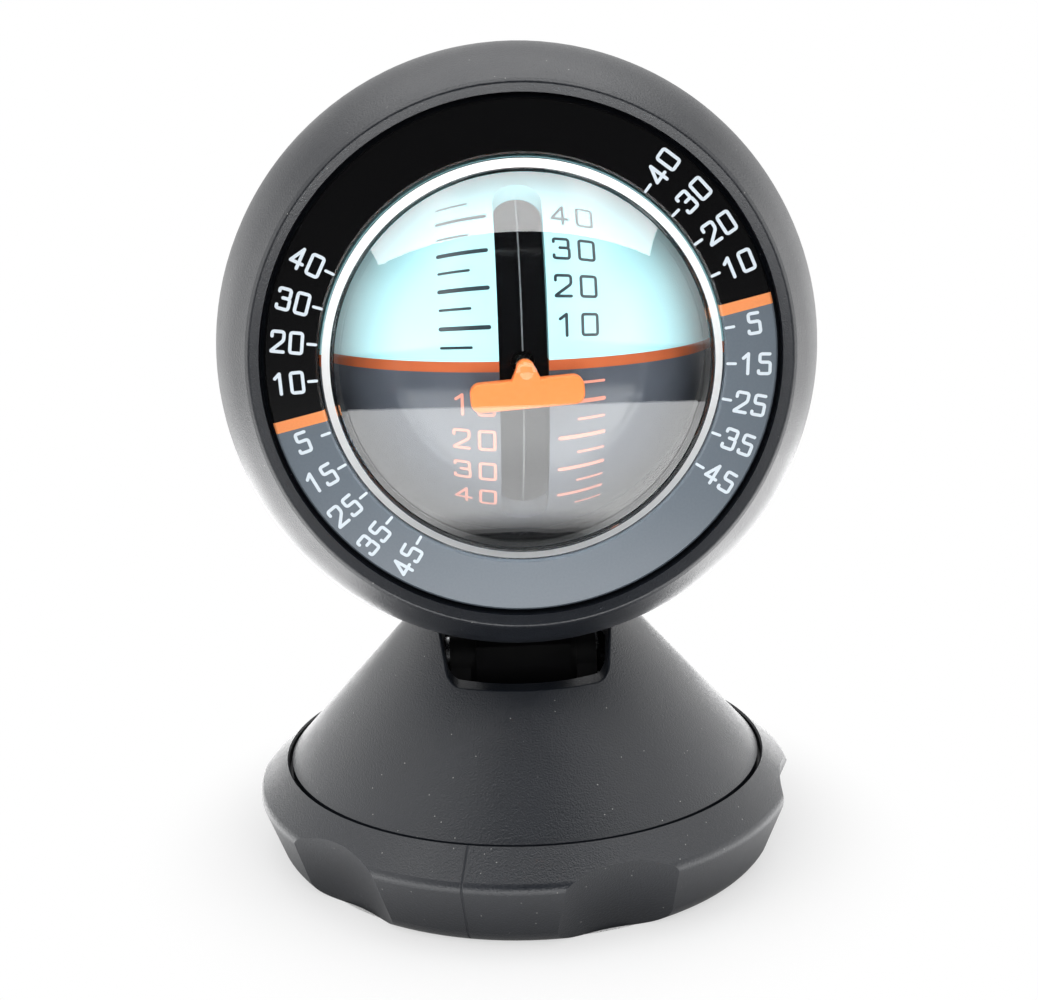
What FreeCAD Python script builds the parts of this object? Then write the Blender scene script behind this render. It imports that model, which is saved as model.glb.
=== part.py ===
"""Dashboard inclinometer: a ball in a round head reads pitch and roll, on a cone stand over a grip ring.

Millimetres, +Z up, origin at the centre of the underside, dial facing -Y, +X to the reader's right.
The head's parts are drawn about the dial axis, their own +Z, and placed with it pointing to -Y.
"""

import FreeCAD, Part
import math
import os

import Sketcher

Vector = FreeCAD.Vector

SIZES = {
    # Grip ring: the round base that stays on the dashboard.
    "ring_top_width": 4.6,
    "ring_top_height": 13.7,
    "ring_crease_height": 9.8,
    "ring_crease_round": 1.3,
    "ring_toe_inset": 2.8,
    "ring_toe_height": 2.2,
    "ring_toe_round": 4.2,
    "ring_foot_width": 1.2,
    "ring_turn": 15.5,
    "groove_gap": 0.5,
    "groove_edge_bevel": 0.25,
    "deck_height": 11.7,
    "deck_thickness": 2.0,
    "scallop_count": 6,
    "scallop_radius": 20.0,
    "scallop_depth": 2.4,
    "scallop_lean": 20.0,
    # Base plate and pad under the ring.
    "pad_margin": 2.0,
    "pad_thickness": 1.0,
    "plate_thickness": 2.0,
    "plate_clearance": 0.2,
    "plate_screw_inset": 9.0,
    "plate_screw_count": 4,
    # Case screws, the same under the base plate and under the turntable.
    "screw_radius": 1.3,
    "screw_length": 6.0,
    "screw_head_radius": 2.5,
    "screw_head_height": 1.1,
    "screw_clearance": 0.1,
    "screw_boss_radius": 3.2,
    # Swivel between the ring and the cone.
    "running_clearance": 0.05,
    "glide_thickness": 0.3,
    "glide_width": 9.0,
    "table_thickness": 2.2,
    "table_clearance": 0.1,
    "post_radius": 5.0,
    "post_below_deck": 1.1,
    "spring_width": 2.4,
    "spring_thickness": 0.5,
    "swivel_washer_radius": 8.0,
    "swivel_washer_thickness": 0.9,
    "swivel_screw_radius": 1.5,
    "swivel_screw_head_radius": 3.0,
    "swivel_screw_head_height": 2.0,
    "swivel_screw_length": 5.4,
    # Cone stand.
    "cone_foot_radius": 34.9,
    "cone_skirt_height": 1.6,
    "cone_apex_height": 52.6,
    "cone_wall": 2.2,
    "crown_height": 33.8,
    "crown_slope": 8.0,
    "cone_screw_inset": 8.9,
    "cone_screw_count": 4,
    "notch_floor_height": 29.3,
    "notch_floor_width": 22.3,
    "notch_crown_width": 24.0,
    "notch_corner": 1.8,
    "notch_back": 14.0,
    "notch_edge_round": 0.3,
    # Tilt hinge.
    "hinge_height": 27.0,
    "hinge_pin_radius": 2.0,
    "lug_radius": 4.2,
    "lug_foot_width": 16.0,
    "lug_thickness": 3.0,
    "arm_width": 14.0,
    "friction_washer_thickness": 0.8,
    "friction_washer_radius": 4.1,
    "bolt_head_radius": 3.4,
    "bolt_head_height": 2.2,
    "nut_across_flats": 6.6,
    "nut_height": 2.4,
    "bolt_beyond_nut": 0.6,
    # Arm that carries the head.
    "arm_barrel_radius": 4.4,
    "arm_neck_height": 30.2,
    "saddle_front": 8.0,
    "saddle_back": 6.0,
    "saddle_depth": 1.4,
    "neck_screw_radius": 1.0,
    "neck_screw_head_radius": 2.0,
    "neck_screw_head_height": 1.4,
    "neck_screw_seat_rise": 2.0,
    "neck_screw_length": 5.2,
    "neck_screw_front": 5.4,
    "neck_screw_back": 2.6,
    # Head: how high its round shell stands and how far forward the scale ring's front lies.
    "shell_bottom_height": 34.6,
    "dial_forward": 24.0,
    # Rear shell, a bowl that is part of a sphere.
    "shell_radius": 39.8,
    "shell_centre_depth": 21.2,
    "shell_wall": 2.4,
    "shell_front_depth": 14.3,
    "spigot_wall": 2.0,
    "spigot_front_depth": 8.0,
    "spigot_inside_length": 7.5,
    "snap_depth": 0.4,
    "snap_centre_depth": 12.6,
    "snap_width": 0.8,
    "seal_groove_depth": 1.0,
    "seal_centre_depth": 10.2,
    "friction_ring_radius": 0.5,
    # Ball mask, the dark funnel round the ball.
    "mask_front_depth": 5.3,
    "mask_front_gap": 0.3,
    "mask_back_depth": 16.0,
    "mask_ball_gap": 1.1,
    "mask_wall": 1.4,
    "mask_flange_inset": 0.2,
    "mask_flange_thickness": 1.5,
    "mask_screw_inset": 2.0,
    "mask_screw_count": 3,
    "mask_screw_radius": 0.9,
    "mask_screw_head_radius": 1.8,
    "mask_screw_head_height": 1.0,
    "mask_screw_length": 6.0,
    "mask_boss_radius": 2.6,
    "mask_boss_length": 8.0,
    # Bezel, the turning front rim.
    "bezel_overhang": 0.2,
    "bezel_wall": 3.0,
    "bezel_widest_depth": 11.5,
    "bezel_gap": 0.3,
    "bezel_lip_forward": 1.6,
    "bezel_lip_chamfer": 1.1,
    "bezel_edge_width": 0.5,
    "bezel_edge_drop": 0.3,
    "bezel_edge_round": 0.25,
    "scale_gap": 0.6,
    "bezel_ledge_back_depth": 5.0,
    "bezel_ledge_width": 2.8,
    "lens_recess_gap": 0.4,
    # Scale ring, lens and its seal.
    "scale_radius": 32.6,
    "scale_thickness": 1.5,
    "scale_bevel": 0.25,
    "lens_gap": 0.3,
    "lens_radius": 25.6,
    "lens_flange_width": 3.0,
    "lens_flange_thickness": 1.5,
    "lens_wall": 1.2,
    "lens_skirt_forward": 0.4,
    "lens_bevel": 1.5,
    "lens_step": 0.25,
    "lens_height": 9.0,
    "lens_seal_thickness": 0.5,
    # Ball and its gimbal.
    "ball_room": 4.1,
    "ball_forward": 2.5,
    "ball_wall": 1.5,
    "band_height": 1.3,
    "band_width": 1.9,
    "slot_width": 6.2,
    "slot_reach": 50.0,
    "slot_lip_width": 1.2,
    "slot_lip_depth": 2.7,
    "stem_radius": 1.0,
    "stem_boss_radius": 4.0,
    "stem_boss_gap": 0.7,
    "stem_socket_depth": 4.6,
    "marker_stand_off": 1.0,
    "marker_thickness": 1.8,
    "marker_length": 14.1,
    "marker_height": 3.6,
    "marker_corner": 1.3,
    "marker_drop": 3.1,
    "marker_nub_radius": 1.1,
    "marker_nub_foot": 3.6,
    "marker_edge_round": 0.4,
    "marker_lean": 3.6,
    "spigot_pin_radius": 0.6,
    "spigot_pin_length": 1.2,
    "hub_radius": 3.0,
    "hub_length": 8.8,
    "gimbal_arm_radius": 1.8,
    "gimbal_arm_gap": 0.6,
    "clip_radius": 2.6,
    "clip_thickness": 0.6,
    "trunnion_radius": 1.0,
    "trunnion_seat": 4.0,
    "trunnion_gap": 0.2,
    "bush_radius": 2.4,
    "bush_length": 4.6,
    "bush_cover": 2.3,
    "cradle_half_width": 4.0,
    "cradle_height": 4.2,
    "drum_gap": 0.8,
    "drum_rim_width": 0.4,
    "drum_rim_height": 0.5,
    "drum_width": 12.0,
    "drum_wall": 1.0,
    "drum_stem_hole_radius": 1.5,
    "weight_radius": 5.0,
    "weight_gap": 0.8,
    "weight_length": 6.0,
    "weight_lift": 10.2,
    "weight_post_radius": 2.4,
    "weight_screw_radius": 0.9,
    "weight_screw_head_radius": 1.8,
    "weight_screw_head_height": 1.2,
    "weight_screw_length": 9.0,
}


class Size:
    """A number together with the spreadsheet expression that gives it."""

    def __init__(self, number, text=None):
        self.number = float(number)
        self.text = text or repr(float(number))

    def _join(self, sign, other, number):
        return Size(number, f"({self.text} {sign} {as_size(other).text})")

    def __add__(self, other):
        return self._join("+", other, self.number + as_size(other).number)

    def __sub__(self, other):
        return self._join("-", other, self.number - as_size(other).number)

    def __mul__(self, other):
        return self._join("*", other, self.number * as_size(other).number)

    def __truediv__(self, other):
        return self._join("/", other, self.number / as_size(other).number)

    def __neg__(self):
        return Size(-self.number, f"(0 - {self.text})")

    def __rsub__(self, other):
        return as_size(other) - self

    __radd__ = __add__
    __rmul__ = __mul__


def as_size(value):
    return value if isinstance(value, Size) else Size(value)


def root(size):
    """Square root."""
    return Size(math.sqrt(size.number), f"sqrt({size.text})")


def leg(hypotenuse, other):
    """The third side of a right triangle: a circle's half chord at a distance from its centre."""
    return root(hypotenuse * hypotenuse - other * other)


def slope(angle):
    """Tangent of an angle in degrees."""
    return Size(math.tan(math.radians(angle.number)), f"tan({angle.text} * 1 deg)")


document = FreeCAD.newDocument("inclinometer")
sheet = document.addObject("Spreadsheet::Sheet", "Sizes")


class Sheet:
    """The driving dimensions, one attribute for each named cell."""


dims = Sheet()
for row, (alias, number) in enumerate(SIZES.items(), start=1):
    sheet.set(f"A{row}", alias)
    sheet.set(f"B{row}", str(number))
    sheet.setAlias(f"B{row}", alias)
    setattr(dims, alias, Size(number, f"Sizes.{alias}"))
document.recompute()

# Sizes that follow from the driving ones.
groove_radius = dims.cone_foot_radius + dims.groove_gap
crease_radius = groove_radius + dims.ring_top_width
toe_radius = crease_radius - dims.ring_toe_inset
foot_radius = toe_radius - dims.ring_toe_round
ring_bore = foot_radius - dims.ring_foot_width
plate_screw_circle = ring_bore - dims.plate_screw_inset
cone_screw_circle = dims.cone_foot_radius - dims.cone_screw_inset

axis_height = dims.shell_bottom_height + dims.shell_radius
neck_seat_height = dims.shell_bottom_height + dims.neck_screw_seat_rise
neck_tip_height = neck_seat_height - dims.neck_screw_length

bezel_radius = dims.shell_radius + dims.bezel_overhang
bezel_skirt = bezel_radius - dims.bezel_wall
spigot_radius = bezel_skirt - dims.running_clearance * 2
mask_flange_radius = spigot_radius - dims.mask_flange_inset
mask_screw_circle = spigot_radius - dims.spigot_wall - dims.mask_screw_inset
lens_flange_radius = dims.lens_radius + dims.lens_flange_width
lens_recess_radius = lens_flange_radius + dims.lens_recess_gap
bezel_opening = lens_recess_radius - dims.bezel_ledge_width

shell_back_depth = dims.shell_centre_depth + dims.shell_radius - dims.shell_wall
ball_radius = (shell_back_depth - dims.ball_room + dims.ball_forward) / 2
ball_centre_depth = ball_radius - dims.ball_forward
slot_lip_inner = ball_radius - dims.slot_lip_depth
drum_radius = slot_lip_inner - dims.drum_gap
bush_end = ball_radius - dims.bush_cover
bush_start = bush_end - dims.bush_length
trunnion_end = bush_end - dims.trunnion_gap
gimbal_arm_reach = bush_start - dims.gimbal_arm_gap
trunnion_start = gimbal_arm_reach - dims.trunnion_seat
weight_start = dims.drum_width / 2 + dims.weight_gap
weight_drop = ball_radius - dims.weight_lift

parts = []


def bind(item, name, size):
    """Tie one property of an object to the sheet."""
    item.setExpression(name, as_size(size).text)


def place(item, x=0, y=0, z=0, turn=None):
    """Set a Placement: a rotation (FreeCAD.Rotation) and a base tied to the sheet."""
    base = Vector(as_size(x).number, as_size(y).number, as_size(z).number)
    item.Placement = FreeCAD.Placement(base, turn or FreeCAD.Rotation())
    for axis, size in zip("xyz", (x, y, z)):
        bind(item, f"Placement.Base.{axis}", size)


FACING = FreeCAD.Rotation(Vector(1, 0, 0), 90)


def place_on_dial(item, depth=0, turn=None):
    """Put a part drawn about the dial axis in the head, its origin depth behind the ring's front."""
    spin = FACING.multiply(turn) if turn else FACING
    place(item, 0, depth - dims.dial_forward, axis_height, spin)


def keep(item, label):
    """Name a finished sub-part, which names its file."""
    item.Label = label
    parts.append(item)
    return item


def origin_feature(body, role):
    return next(item for item in body.Origin.OriginFeatures if item.Role == role)


def sketch_on(body, role, offset=0):
    """A sketch on one of the body's origin planes, offset along the plane's normal."""
    sketch = body.newObject("Sketcher::SketchObject", "Sketch")
    sketch.AttachmentSupport = [(origin_feature(body, role), "")]
    sketch.MapMode = "FlatFace"
    sketch.AttachmentOffset = FreeCAD.Placement(Vector(0, 0, as_size(offset).number), FreeCAD.Rotation())
    bind(sketch, "AttachmentOffset.Base.z", offset)
    return sketch


def fix_point(sketch, edge, end, x, y):
    """Hold a point of an edge at distances from the sketch's origin that are tied to the sheet."""
    for kind, size in (("DistanceX", as_size(x)), ("DistanceY", as_size(y))):
        number = sketch.addConstraint(Sketcher.Constraint(kind, -1, 1, edge, end, size.number))
        bind(sketch, f"Constraints[{number}]", size)


def flat(x, y):
    return Vector(as_size(x).number, as_size(y).number, 0)


def arc_through(start, via, end):
    """A counter-clockwise arc on three points: the solver may flip one that runs clockwise."""
    middle = Part.Arc(start, via, end).toShape().Curve
    turning_left = (via - start).cross(end - via).z > 0
    rays = [point - middle.Center for point in ((start, end) if turning_left else (end, start))]
    first, last = [math.atan2(ray.y, ray.x) for ray in rays]
    if last < first:
        last += 2 * math.pi
    return Part.ArcOfCircle(Part.Circle(middle.Center, Vector(0, 0, 1), middle.Radius), first, last)


def end_at(sketch, edge, point):
    """Which end of an edge lies at a point: 1 or 2."""
    curve = sketch.Geometry[edge]
    return 1 if curve.StartPoint.distanceToPoint(point) < curve.EndPoint.distanceToPoint(point) else 2


def outline(sketch, points):
    """A closed outline. A point (x, y) is reached by a line, (x, y, via_x, via_y) by an arc."""
    edges = []
    for index, point in enumerate(points):
        start = flat(*points[index - 1][:2])
        end = flat(*point[:2])
        if len(point) == 4:
            edge = sketch.addGeometry(arc_through(start, flat(*point[2:]), end))
        else:
            edge = sketch.addGeometry(Part.LineSegment(start, end))
        edges.append((edge, end_at(sketch, edge, start), end_at(sketch, edge, end)))
    for index, point in enumerate(points):
        edge, _, last = edges[index]
        following, first, _ = edges[(index + 1) % len(edges)]
        sketch.addConstraint(Sketcher.Constraint("Coincident", edge, last, following, first))
        fix_point(sketch, edge, last, *point[:2])
        if len(point) == 4:
            via = sketch.addGeometry(Part.Point(flat(*point[2:])), True)
            fix_point(sketch, via, 1, *point[2:])
            sketch.addConstraint(Sketcher.Constraint("PointOnObject", via, 1, edge))


def circle(sketch, x, y, radius):
    """A circle with its centre and radius tied to the sheet."""
    edge = sketch.addGeometry(Part.Circle(flat(x, y), Vector(0, 0, 1), as_size(radius).number))
    fix_point(sketch, edge, 3, x, y)
    number = sketch.addConstraint(Sketcher.Constraint("Radius", edge, as_size(radius).number))
    bind(sketch, f"Constraints[{number}]", radius)


def new_body(label):
    body = document.addObject("PartDesign::Body", label)
    return keep(body, label)


def revolve(body, points, kind="PartDesign::Revolution"):
    """Turn an outline of (radius, height) points about the body's Z axis."""
    sketch = sketch_on(body, "XZ_Plane")
    outline(sketch, points)
    feature = body.newObject(kind, "Turned")
    feature.Profile = sketch
    feature.ReferenceAxis = (sketch, ["V_Axis"])
    feature.Angle = 360
    document.recompute()
    return feature


def pad(body, sketch, length, symmetric=False, reverse=False):
    feature = body.newObject("PartDesign::Pad", "Pad")
    feature.Profile = sketch
    feature.SideType = "Symmetric" if symmetric else "One side"
    feature.Reversed = reverse
    bind(feature, "Length", length)
    document.recompute()
    return feature


def pocket(body, sketch, length, symmetric=False, reverse=False):
    """Cut a sketch into the body, and stop the build if it removes nothing."""
    before = body.Shape.Volume
    feature = body.newObject("PartDesign::Pocket", "Pocket")
    feature.Profile = sketch
    feature.SideType = "Symmetric" if symmetric else "One side"
    feature.Reversed = reverse
    bind(feature, "Length", length)
    document.recompute()
    if body.Shape.Volume >= before:
        raise RuntimeError(f"{body.Label}: {feature.Name} cuts nothing")
    return feature


def soften(body, radius, wanted):
    """Round the edges of the body that wanted(edge) picks."""
    sharp = body.Tip
    edges = [f"Edge{index}" for index, edge in enumerate(body.Shape.Edges, start=1) if wanted(edge)]
    fillet = body.newObject("PartDesign::Fillet", "Rounded")
    fillet.Base = (sharp, edges)
    bind(fillet, "Radius", radius)
    document.recompute()


def rim_at(radius, height):
    """A test that picks the whole circle about the Z axis with this radius and height."""
    def wanted(edge):
        box = edge.BoundBox
        return (box.ZLength < 0.001 and abs(box.ZMax - height.number) < 0.001
                and abs(box.XMax - radius.number) < 0.001 and abs(box.XMin + radius.number) < 0.001)
    return wanted


def polar(body, features, count):
    """Repeat features evenly about the body's Z axis."""
    pattern = body.newObject("PartDesign::PolarPattern", "Pattern")
    pattern.Originals = features
    pattern.Axis = (origin_feature(body, "Z_Axis"), [""])
    pattern.Angle = 360
    bind(pattern, "Occurrences", count)
    body.Tip = pattern
    document.recompute()
    return pattern


def cylinder(radius, length, x=0, y=0, z=0, turn=None):
    """A cylinder standing on (x, y, z) along its own Z, turned as asked."""
    item = document.addObject("Part::Cylinder", "Cylinder")
    bind(item, "Radius", radius)
    bind(item, "Height", length)
    place(item, x, y, z, turn)
    return item


def fuse(items):
    result = document.addObject("Part::MultiFuse", "Fusion")
    result.Shapes = items
    return result


def cut(base, tool):
    result = document.addObject("Part::Cut", "Cut")
    result.Base = base
    result.Tool = tool
    return result


def common(items):
    result = document.addObject("Part::MultiCommon", "Common")
    result.Shapes = items
    return result


def group(items):
    """Several like solids as one sub-part."""
    result = document.addObject("Part::Compound", "Group")
    result.Links = items
    return result


def on_circle(radius, count, first=0):
    """Points spaced evenly on a circle about Z, first in degrees from +X."""
    number = int(count.number)
    for index in range(number):
        angle = math.radians(first + 360 / number * index)
        yield radius * math.cos(angle), radius * math.sin(angle)


def screw(radius, length, head_radius, head_height, x, y, z, turn=None):
    """A plain screw: its head stands on (x, y, z) and its shank goes on along its own Z."""
    head = cylinder(head_radius, head_height, x, y, z, turn)
    shank = cylinder(radius, length + head_height, x, y, z, turn)
    return fuse([head, shank])


def tube(outer, inner, bottom, height):
    """A flat ring about Z."""
    return cut(cylinder(outer, height, z=bottom), cylinder(inner, height, z=bottom))


ALONG_X = FreeCAD.Rotation(Vector(0, 1, 0), 90)
AGAINST_X = FreeCAD.Rotation(Vector(0, 1, 0), -90)
UPSIDE_DOWN = FreeCAD.Rotation(Vector(1, 0, 0), 180)

# Heights in the base, from the surface up.
plate_bottom = dims.pad_thickness
plate_top = plate_bottom + dims.plate_thickness
deck_bottom = dims.deck_height - dims.deck_thickness
table_bottom = dims.deck_height + dims.glide_thickness
table_top = table_bottom + dims.table_thickness
post_bottom = deck_bottom - dims.post_below_deck
shank_hole = dims.screw_radius + dims.screw_clearance
head_hole = dims.screw_head_radius + dims.screw_clearance

# The cone's slope, as radius lost for each millimetre of height, and its wall measured level.
skirt_top = table_bottom + dims.cone_skirt_height
cone_lean = dims.cone_foot_radius / (dims.cone_apex_height - skirt_top)
level_wall = dims.cone_wall * root(1 + cone_lean * cone_lean)


def inside_cone(height):
    """Radius of the cone's inner face at a height."""
    return cone_lean * (dims.cone_apex_height - height) - level_wall


def adhesive_pad():
    """Round rubber pad, stuck under the base plate and flush with the ring's foot."""
    keep(cylinder(ring_bore - dims.pad_margin, dims.pad_thickness), "adhesive_pad")


def base_plate():
    """Disc that closes the ring from below, counterbored for its screws."""
    body = new_body("base_plate")
    sketch = sketch_on(body, "XY_Plane", plate_bottom)
    circle(sketch, 0, 0, ring_bore - dims.plate_clearance)
    pad(body, sketch, dims.plate_thickness)
    holes = []
    for radius, depth in ((shank_hole, dims.plate_thickness), (head_hole, dims.screw_head_height)):
        sketch = sketch_on(body, "XY_Plane", plate_bottom)
        circle(sketch, plate_screw_circle, 0, radius)
        holes.append(pocket(body, sketch, depth, reverse=True))
    polar(body, holes, dims.plate_screw_count)
    place(body, turn=FreeCAD.Rotation(Vector(0, 0, 1), dims.ring_turn.number))


def base_screws():
    """Screws up through the base plate into the bosses under the deck."""
    screws = []
    for x, y in on_circle(plate_screw_circle, dims.plate_screw_count, dims.ring_turn.number):
        screws.append(screw(dims.screw_radius, dims.screw_length, dims.screw_head_radius,
                            dims.screw_head_height, x, y, plate_bottom))
    keep(group(screws), "base_screws")


def on_crease(edge):
    """The edge between the ring's wall and its sloping top, in the lengths that the scallops leave."""
    box = edge.BoundBox
    middle = edge.CenterOfMass
    return (box.ZLength < 0.001 and abs(box.ZMax - dims.ring_crease_height.number) < 0.001
            and math.hypot(middle.x, middle.y) > groove_radius.number)


def grip_ring():
    """Moulded ring with a sloping top, a soft crease, a leaning wall and finger scallops."""
    body = new_body("grip_ring")
    part_round = 1 - math.sin(math.radians(45))
    revolve(body, [
        (foot_radius, 0),
        (toe_radius, dims.ring_toe_height,
         toe_radius - dims.ring_toe_round * part_round, dims.ring_toe_height * part_round),
        (crease_radius, dims.ring_crease_height),
        (groove_radius + dims.groove_edge_bevel, dims.ring_top_height),
        (groove_radius, dims.ring_top_height - dims.groove_edge_bevel),
        (groove_radius, dims.deck_height),
        (dims.post_radius + dims.running_clearance, dims.deck_height),
        (dims.post_radius + dims.running_clearance, deck_bottom),
        (ring_bore, deck_bottom),
        (ring_bore, 0),
    ])
    sketch = sketch_on(body, "XY_Plane")
    foot_spread = slope(dims.scallop_lean) * dims.ring_crease_height
    circle(sketch, 0, dims.scallop_depth - crease_radius - dims.scallop_radius,
           dims.scallop_radius + foot_spread)
    scallop = pocket(body, sketch, dims.ring_top_height, reverse=True)
    bind(scallop, "TaperAngle", -dims.scallop_lean)
    document.recompute()
    polar(body, [scallop], dims.scallop_count)
    soften(body, dims.ring_crease_round, on_crease)
    sketch = sketch_on(body, "XY_Plane", plate_top)
    circle(sketch, plate_screw_circle, 0, dims.screw_boss_radius)
    circle(sketch, plate_screw_circle, 0, dims.screw_radius)
    boss = pad(body, sketch, deck_bottom - plate_top)
    polar(body, [boss], dims.plate_screw_count)
    place(body, turn=FreeCAD.Rotation(Vector(0, 0, 1), dims.ring_turn.number))


def turntable():
    """Floor of the cone: a disc with the swivel post below and two hinge lugs above."""
    body = new_body("turntable")
    table_radius = dims.cone_foot_radius - dims.cone_wall - dims.table_clearance
    edge_height = dims.cone_apex_height - (table_radius + dims.table_clearance + level_wall) / cone_lean
    revolve(body, [
        (dims.swivel_screw_radius, post_bottom),
        (dims.post_radius, post_bottom),
        (dims.post_radius, table_bottom),
        (table_radius, table_bottom),
        (table_radius, edge_height),
        (inside_cone(table_top) - dims.table_clearance, table_top),
        (dims.swivel_screw_radius, table_top),
    ])
    sketch = sketch_on(body, "YZ_Plane", dims.arm_width / 2 + dims.friction_washer_thickness)
    foot = dims.lug_foot_width / 2
    outline(sketch, [
        (-foot, table_bottom + dims.table_thickness / 2),
        (foot, table_bottom + dims.table_thickness / 2),
        (dims.lug_radius, dims.hinge_height),
        (-dims.lug_radius, dims.hinge_height, 0, dims.hinge_height + dims.lug_radius),
    ])
    lug = pad(body, sketch, dims.lug_thickness)
    mirror = body.newObject("PartDesign::Mirrored", "Mirror")
    mirror.Originals = [lug]
    mirror.MirrorPlane = (origin_feature(body, "YZ_Plane"), [""])
    body.Tip = mirror
    document.recompute()
    sketch = sketch_on(body, "YZ_Plane")
    circle(sketch, 0, dims.hinge_height, dims.hinge_pin_radius)
    pocket(body, sketch, dims.cone_foot_radius, symmetric=True)
    holes = []
    for radius, depth in ((shank_hole, dims.table_thickness), (head_hole, dims.screw_head_height)):
        sketch = sketch_on(body, "XY_Plane", table_bottom)
        x, y = next(on_circle(cone_screw_circle, dims.cone_screw_count, 45))
        circle(sketch, x, y, radius)
        holes.append(pocket(body, sketch, depth, reverse=True))
    polar(body, holes, dims.cone_screw_count)


def swivel_fittings():
    """Glide ring above the deck; disc spring, washer and screw that hold the cone down to it."""
    glide_outer = dims.cone_foot_radius - dims.cone_wall
    keep(tube(glide_outer, glide_outer - dims.glide_width, dims.deck_height, dims.glide_thickness),
         "swivel_glide_ring")
    spring = new_body("swivel_spring")
    inner = dims.post_radius + dims.running_clearance * 4
    revolve(spring, [
        (inner, deck_bottom - dims.spring_thickness),
        (inner + dims.spring_width, post_bottom),
        (inner + dims.spring_width, post_bottom + dims.spring_thickness),
        (inner, deck_bottom),
    ])
    washer_bottom = post_bottom - dims.swivel_washer_thickness
    keep(tube(dims.swivel_washer_radius, dims.swivel_screw_radius, washer_bottom,
              dims.swivel_washer_thickness), "swivel_washer")
    keep(screw(dims.swivel_screw_radius, dims.swivel_screw_length, dims.swivel_screw_head_radius,
               dims.swivel_screw_head_height, 0, 0, washer_bottom - dims.swivel_screw_head_height),
         "swivel_screw")


def on_notch_edge(edge):
    """The edges where the notch cuts the front of the cone's outer face."""
    first, last = edge.ParameterRange
    for step in range(5):
        point = edge.valueAt(first + (last - first) * step / 4)
        cone_radius = cone_lean.number * (dims.cone_apex_height.number - point.z)
        if abs(math.hypot(point.x, point.y) - cone_radius) > 0.01 or point.y > 0:
            return False
    return edge.BoundBox.ZMin > dims.notch_floor_height.number - 0.01


def cone_shell():
    """Hollow cone with a skirt, a crown that slopes to the back and a notch for the arm in front."""
    body = new_body("cone_shell")
    blank_top = (dims.cone_apex_height + dims.crown_height) / 2
    revolve(body, [
        (0, table_bottom),
        (dims.cone_foot_radius, table_bottom),
        (dims.cone_foot_radius, skirt_top),
        (cone_lean * (dims.cone_apex_height - blank_top), blank_top),
        (0, blank_top),
    ])
    sketch = sketch_on(body, "YZ_Plane")
    reach = dims.cone_foot_radius
    drop = slope(dims.crown_slope) * reach
    outline(sketch, [
        (-reach, dims.crown_height + drop),
        (reach, dims.crown_height - drop),
        (reach, dims.cone_apex_height),
        (-reach, dims.cone_apex_height),
    ])
    pocket(body, sketch, reach * 2, symmetric=True)
    before = body.Shape.Volume
    solid_cone = body.Tip
    floor = [f"Face{index}" for index, face in enumerate(body.Shape.Faces, start=1)
             if abs(face.BoundBox.ZMax - table_bottom.number) < 0.01]
    shell = body.newObject("PartDesign::Thickness", "Shell")
    shell.Base = (solid_cone, floor)
    bind(shell, "Value", dims.cone_wall)
    shell.Reversed = True
    shell.Join = 1
    document.recompute()
    if body.Shape.Volume >= before:
        raise RuntimeError("cone_shell: the wall is not hollowed")
    sketch = sketch_on(body, "XY_Plane", table_top)
    x, y = next(on_circle(cone_screw_circle, dims.cone_screw_count, 45))
    circle(sketch, x, y, dims.screw_boss_radius)
    boss_edge = cone_screw_circle + dims.screw_boss_radius
    boss_top = dims.cone_apex_height - boss_edge / cone_lean - dims.cone_wall / 5
    boss = pad(body, sketch, boss_top - table_top)
    polar(body, [boss], dims.cone_screw_count)
    sketch = sketch_on(body, "XY_Plane", table_top)
    circle(sketch, x, y, dims.screw_radius)
    pilot = pocket(body, sketch, dims.screw_length + dims.screw_head_height - dims.table_thickness, reverse=True)
    polar(body, [pilot], dims.cone_screw_count)
    sketch = sketch_on(body, "XZ_Plane", -dims.notch_back)
    floor_half = dims.notch_floor_width / 2
    flare = (dims.notch_crown_width / 2 - floor_half) / (dims.crown_height - dims.notch_floor_height)
    top_half = floor_half + flare * (dims.cone_apex_height - dims.notch_floor_height)
    corner = dims.notch_corner
    round_in = 1 - math.sin(math.radians(45))
    low = dims.notch_floor_height
    outline(sketch, [
        (-floor_half, low + corner),
        (corner - floor_half, low, corner * round_in - floor_half, low + corner * round_in),
        (floor_half - corner, low),
        (floor_half, low + corner, floor_half - corner * round_in, low + corner * round_in),
        (top_half, dims.cone_apex_height),
        (-top_half, dims.cone_apex_height),
    ])
    pocket(body, sketch, dims.notch_back + dims.cone_foot_radius, reverse=True)
    soften(body, dims.notch_edge_round, on_notch_edge)


def cone_screws():
    """Screws up through the turntable into the bosses of the cone."""
    screws = []
    for x, y in on_circle(cone_screw_circle, dims.cone_screw_count, 45):
        screws.append(screw(dims.screw_radius, dims.screw_length, dims.screw_head_radius,
                            dims.screw_head_height, x, y, table_bottom))
    keep(group(screws), "cone_screws")


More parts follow.
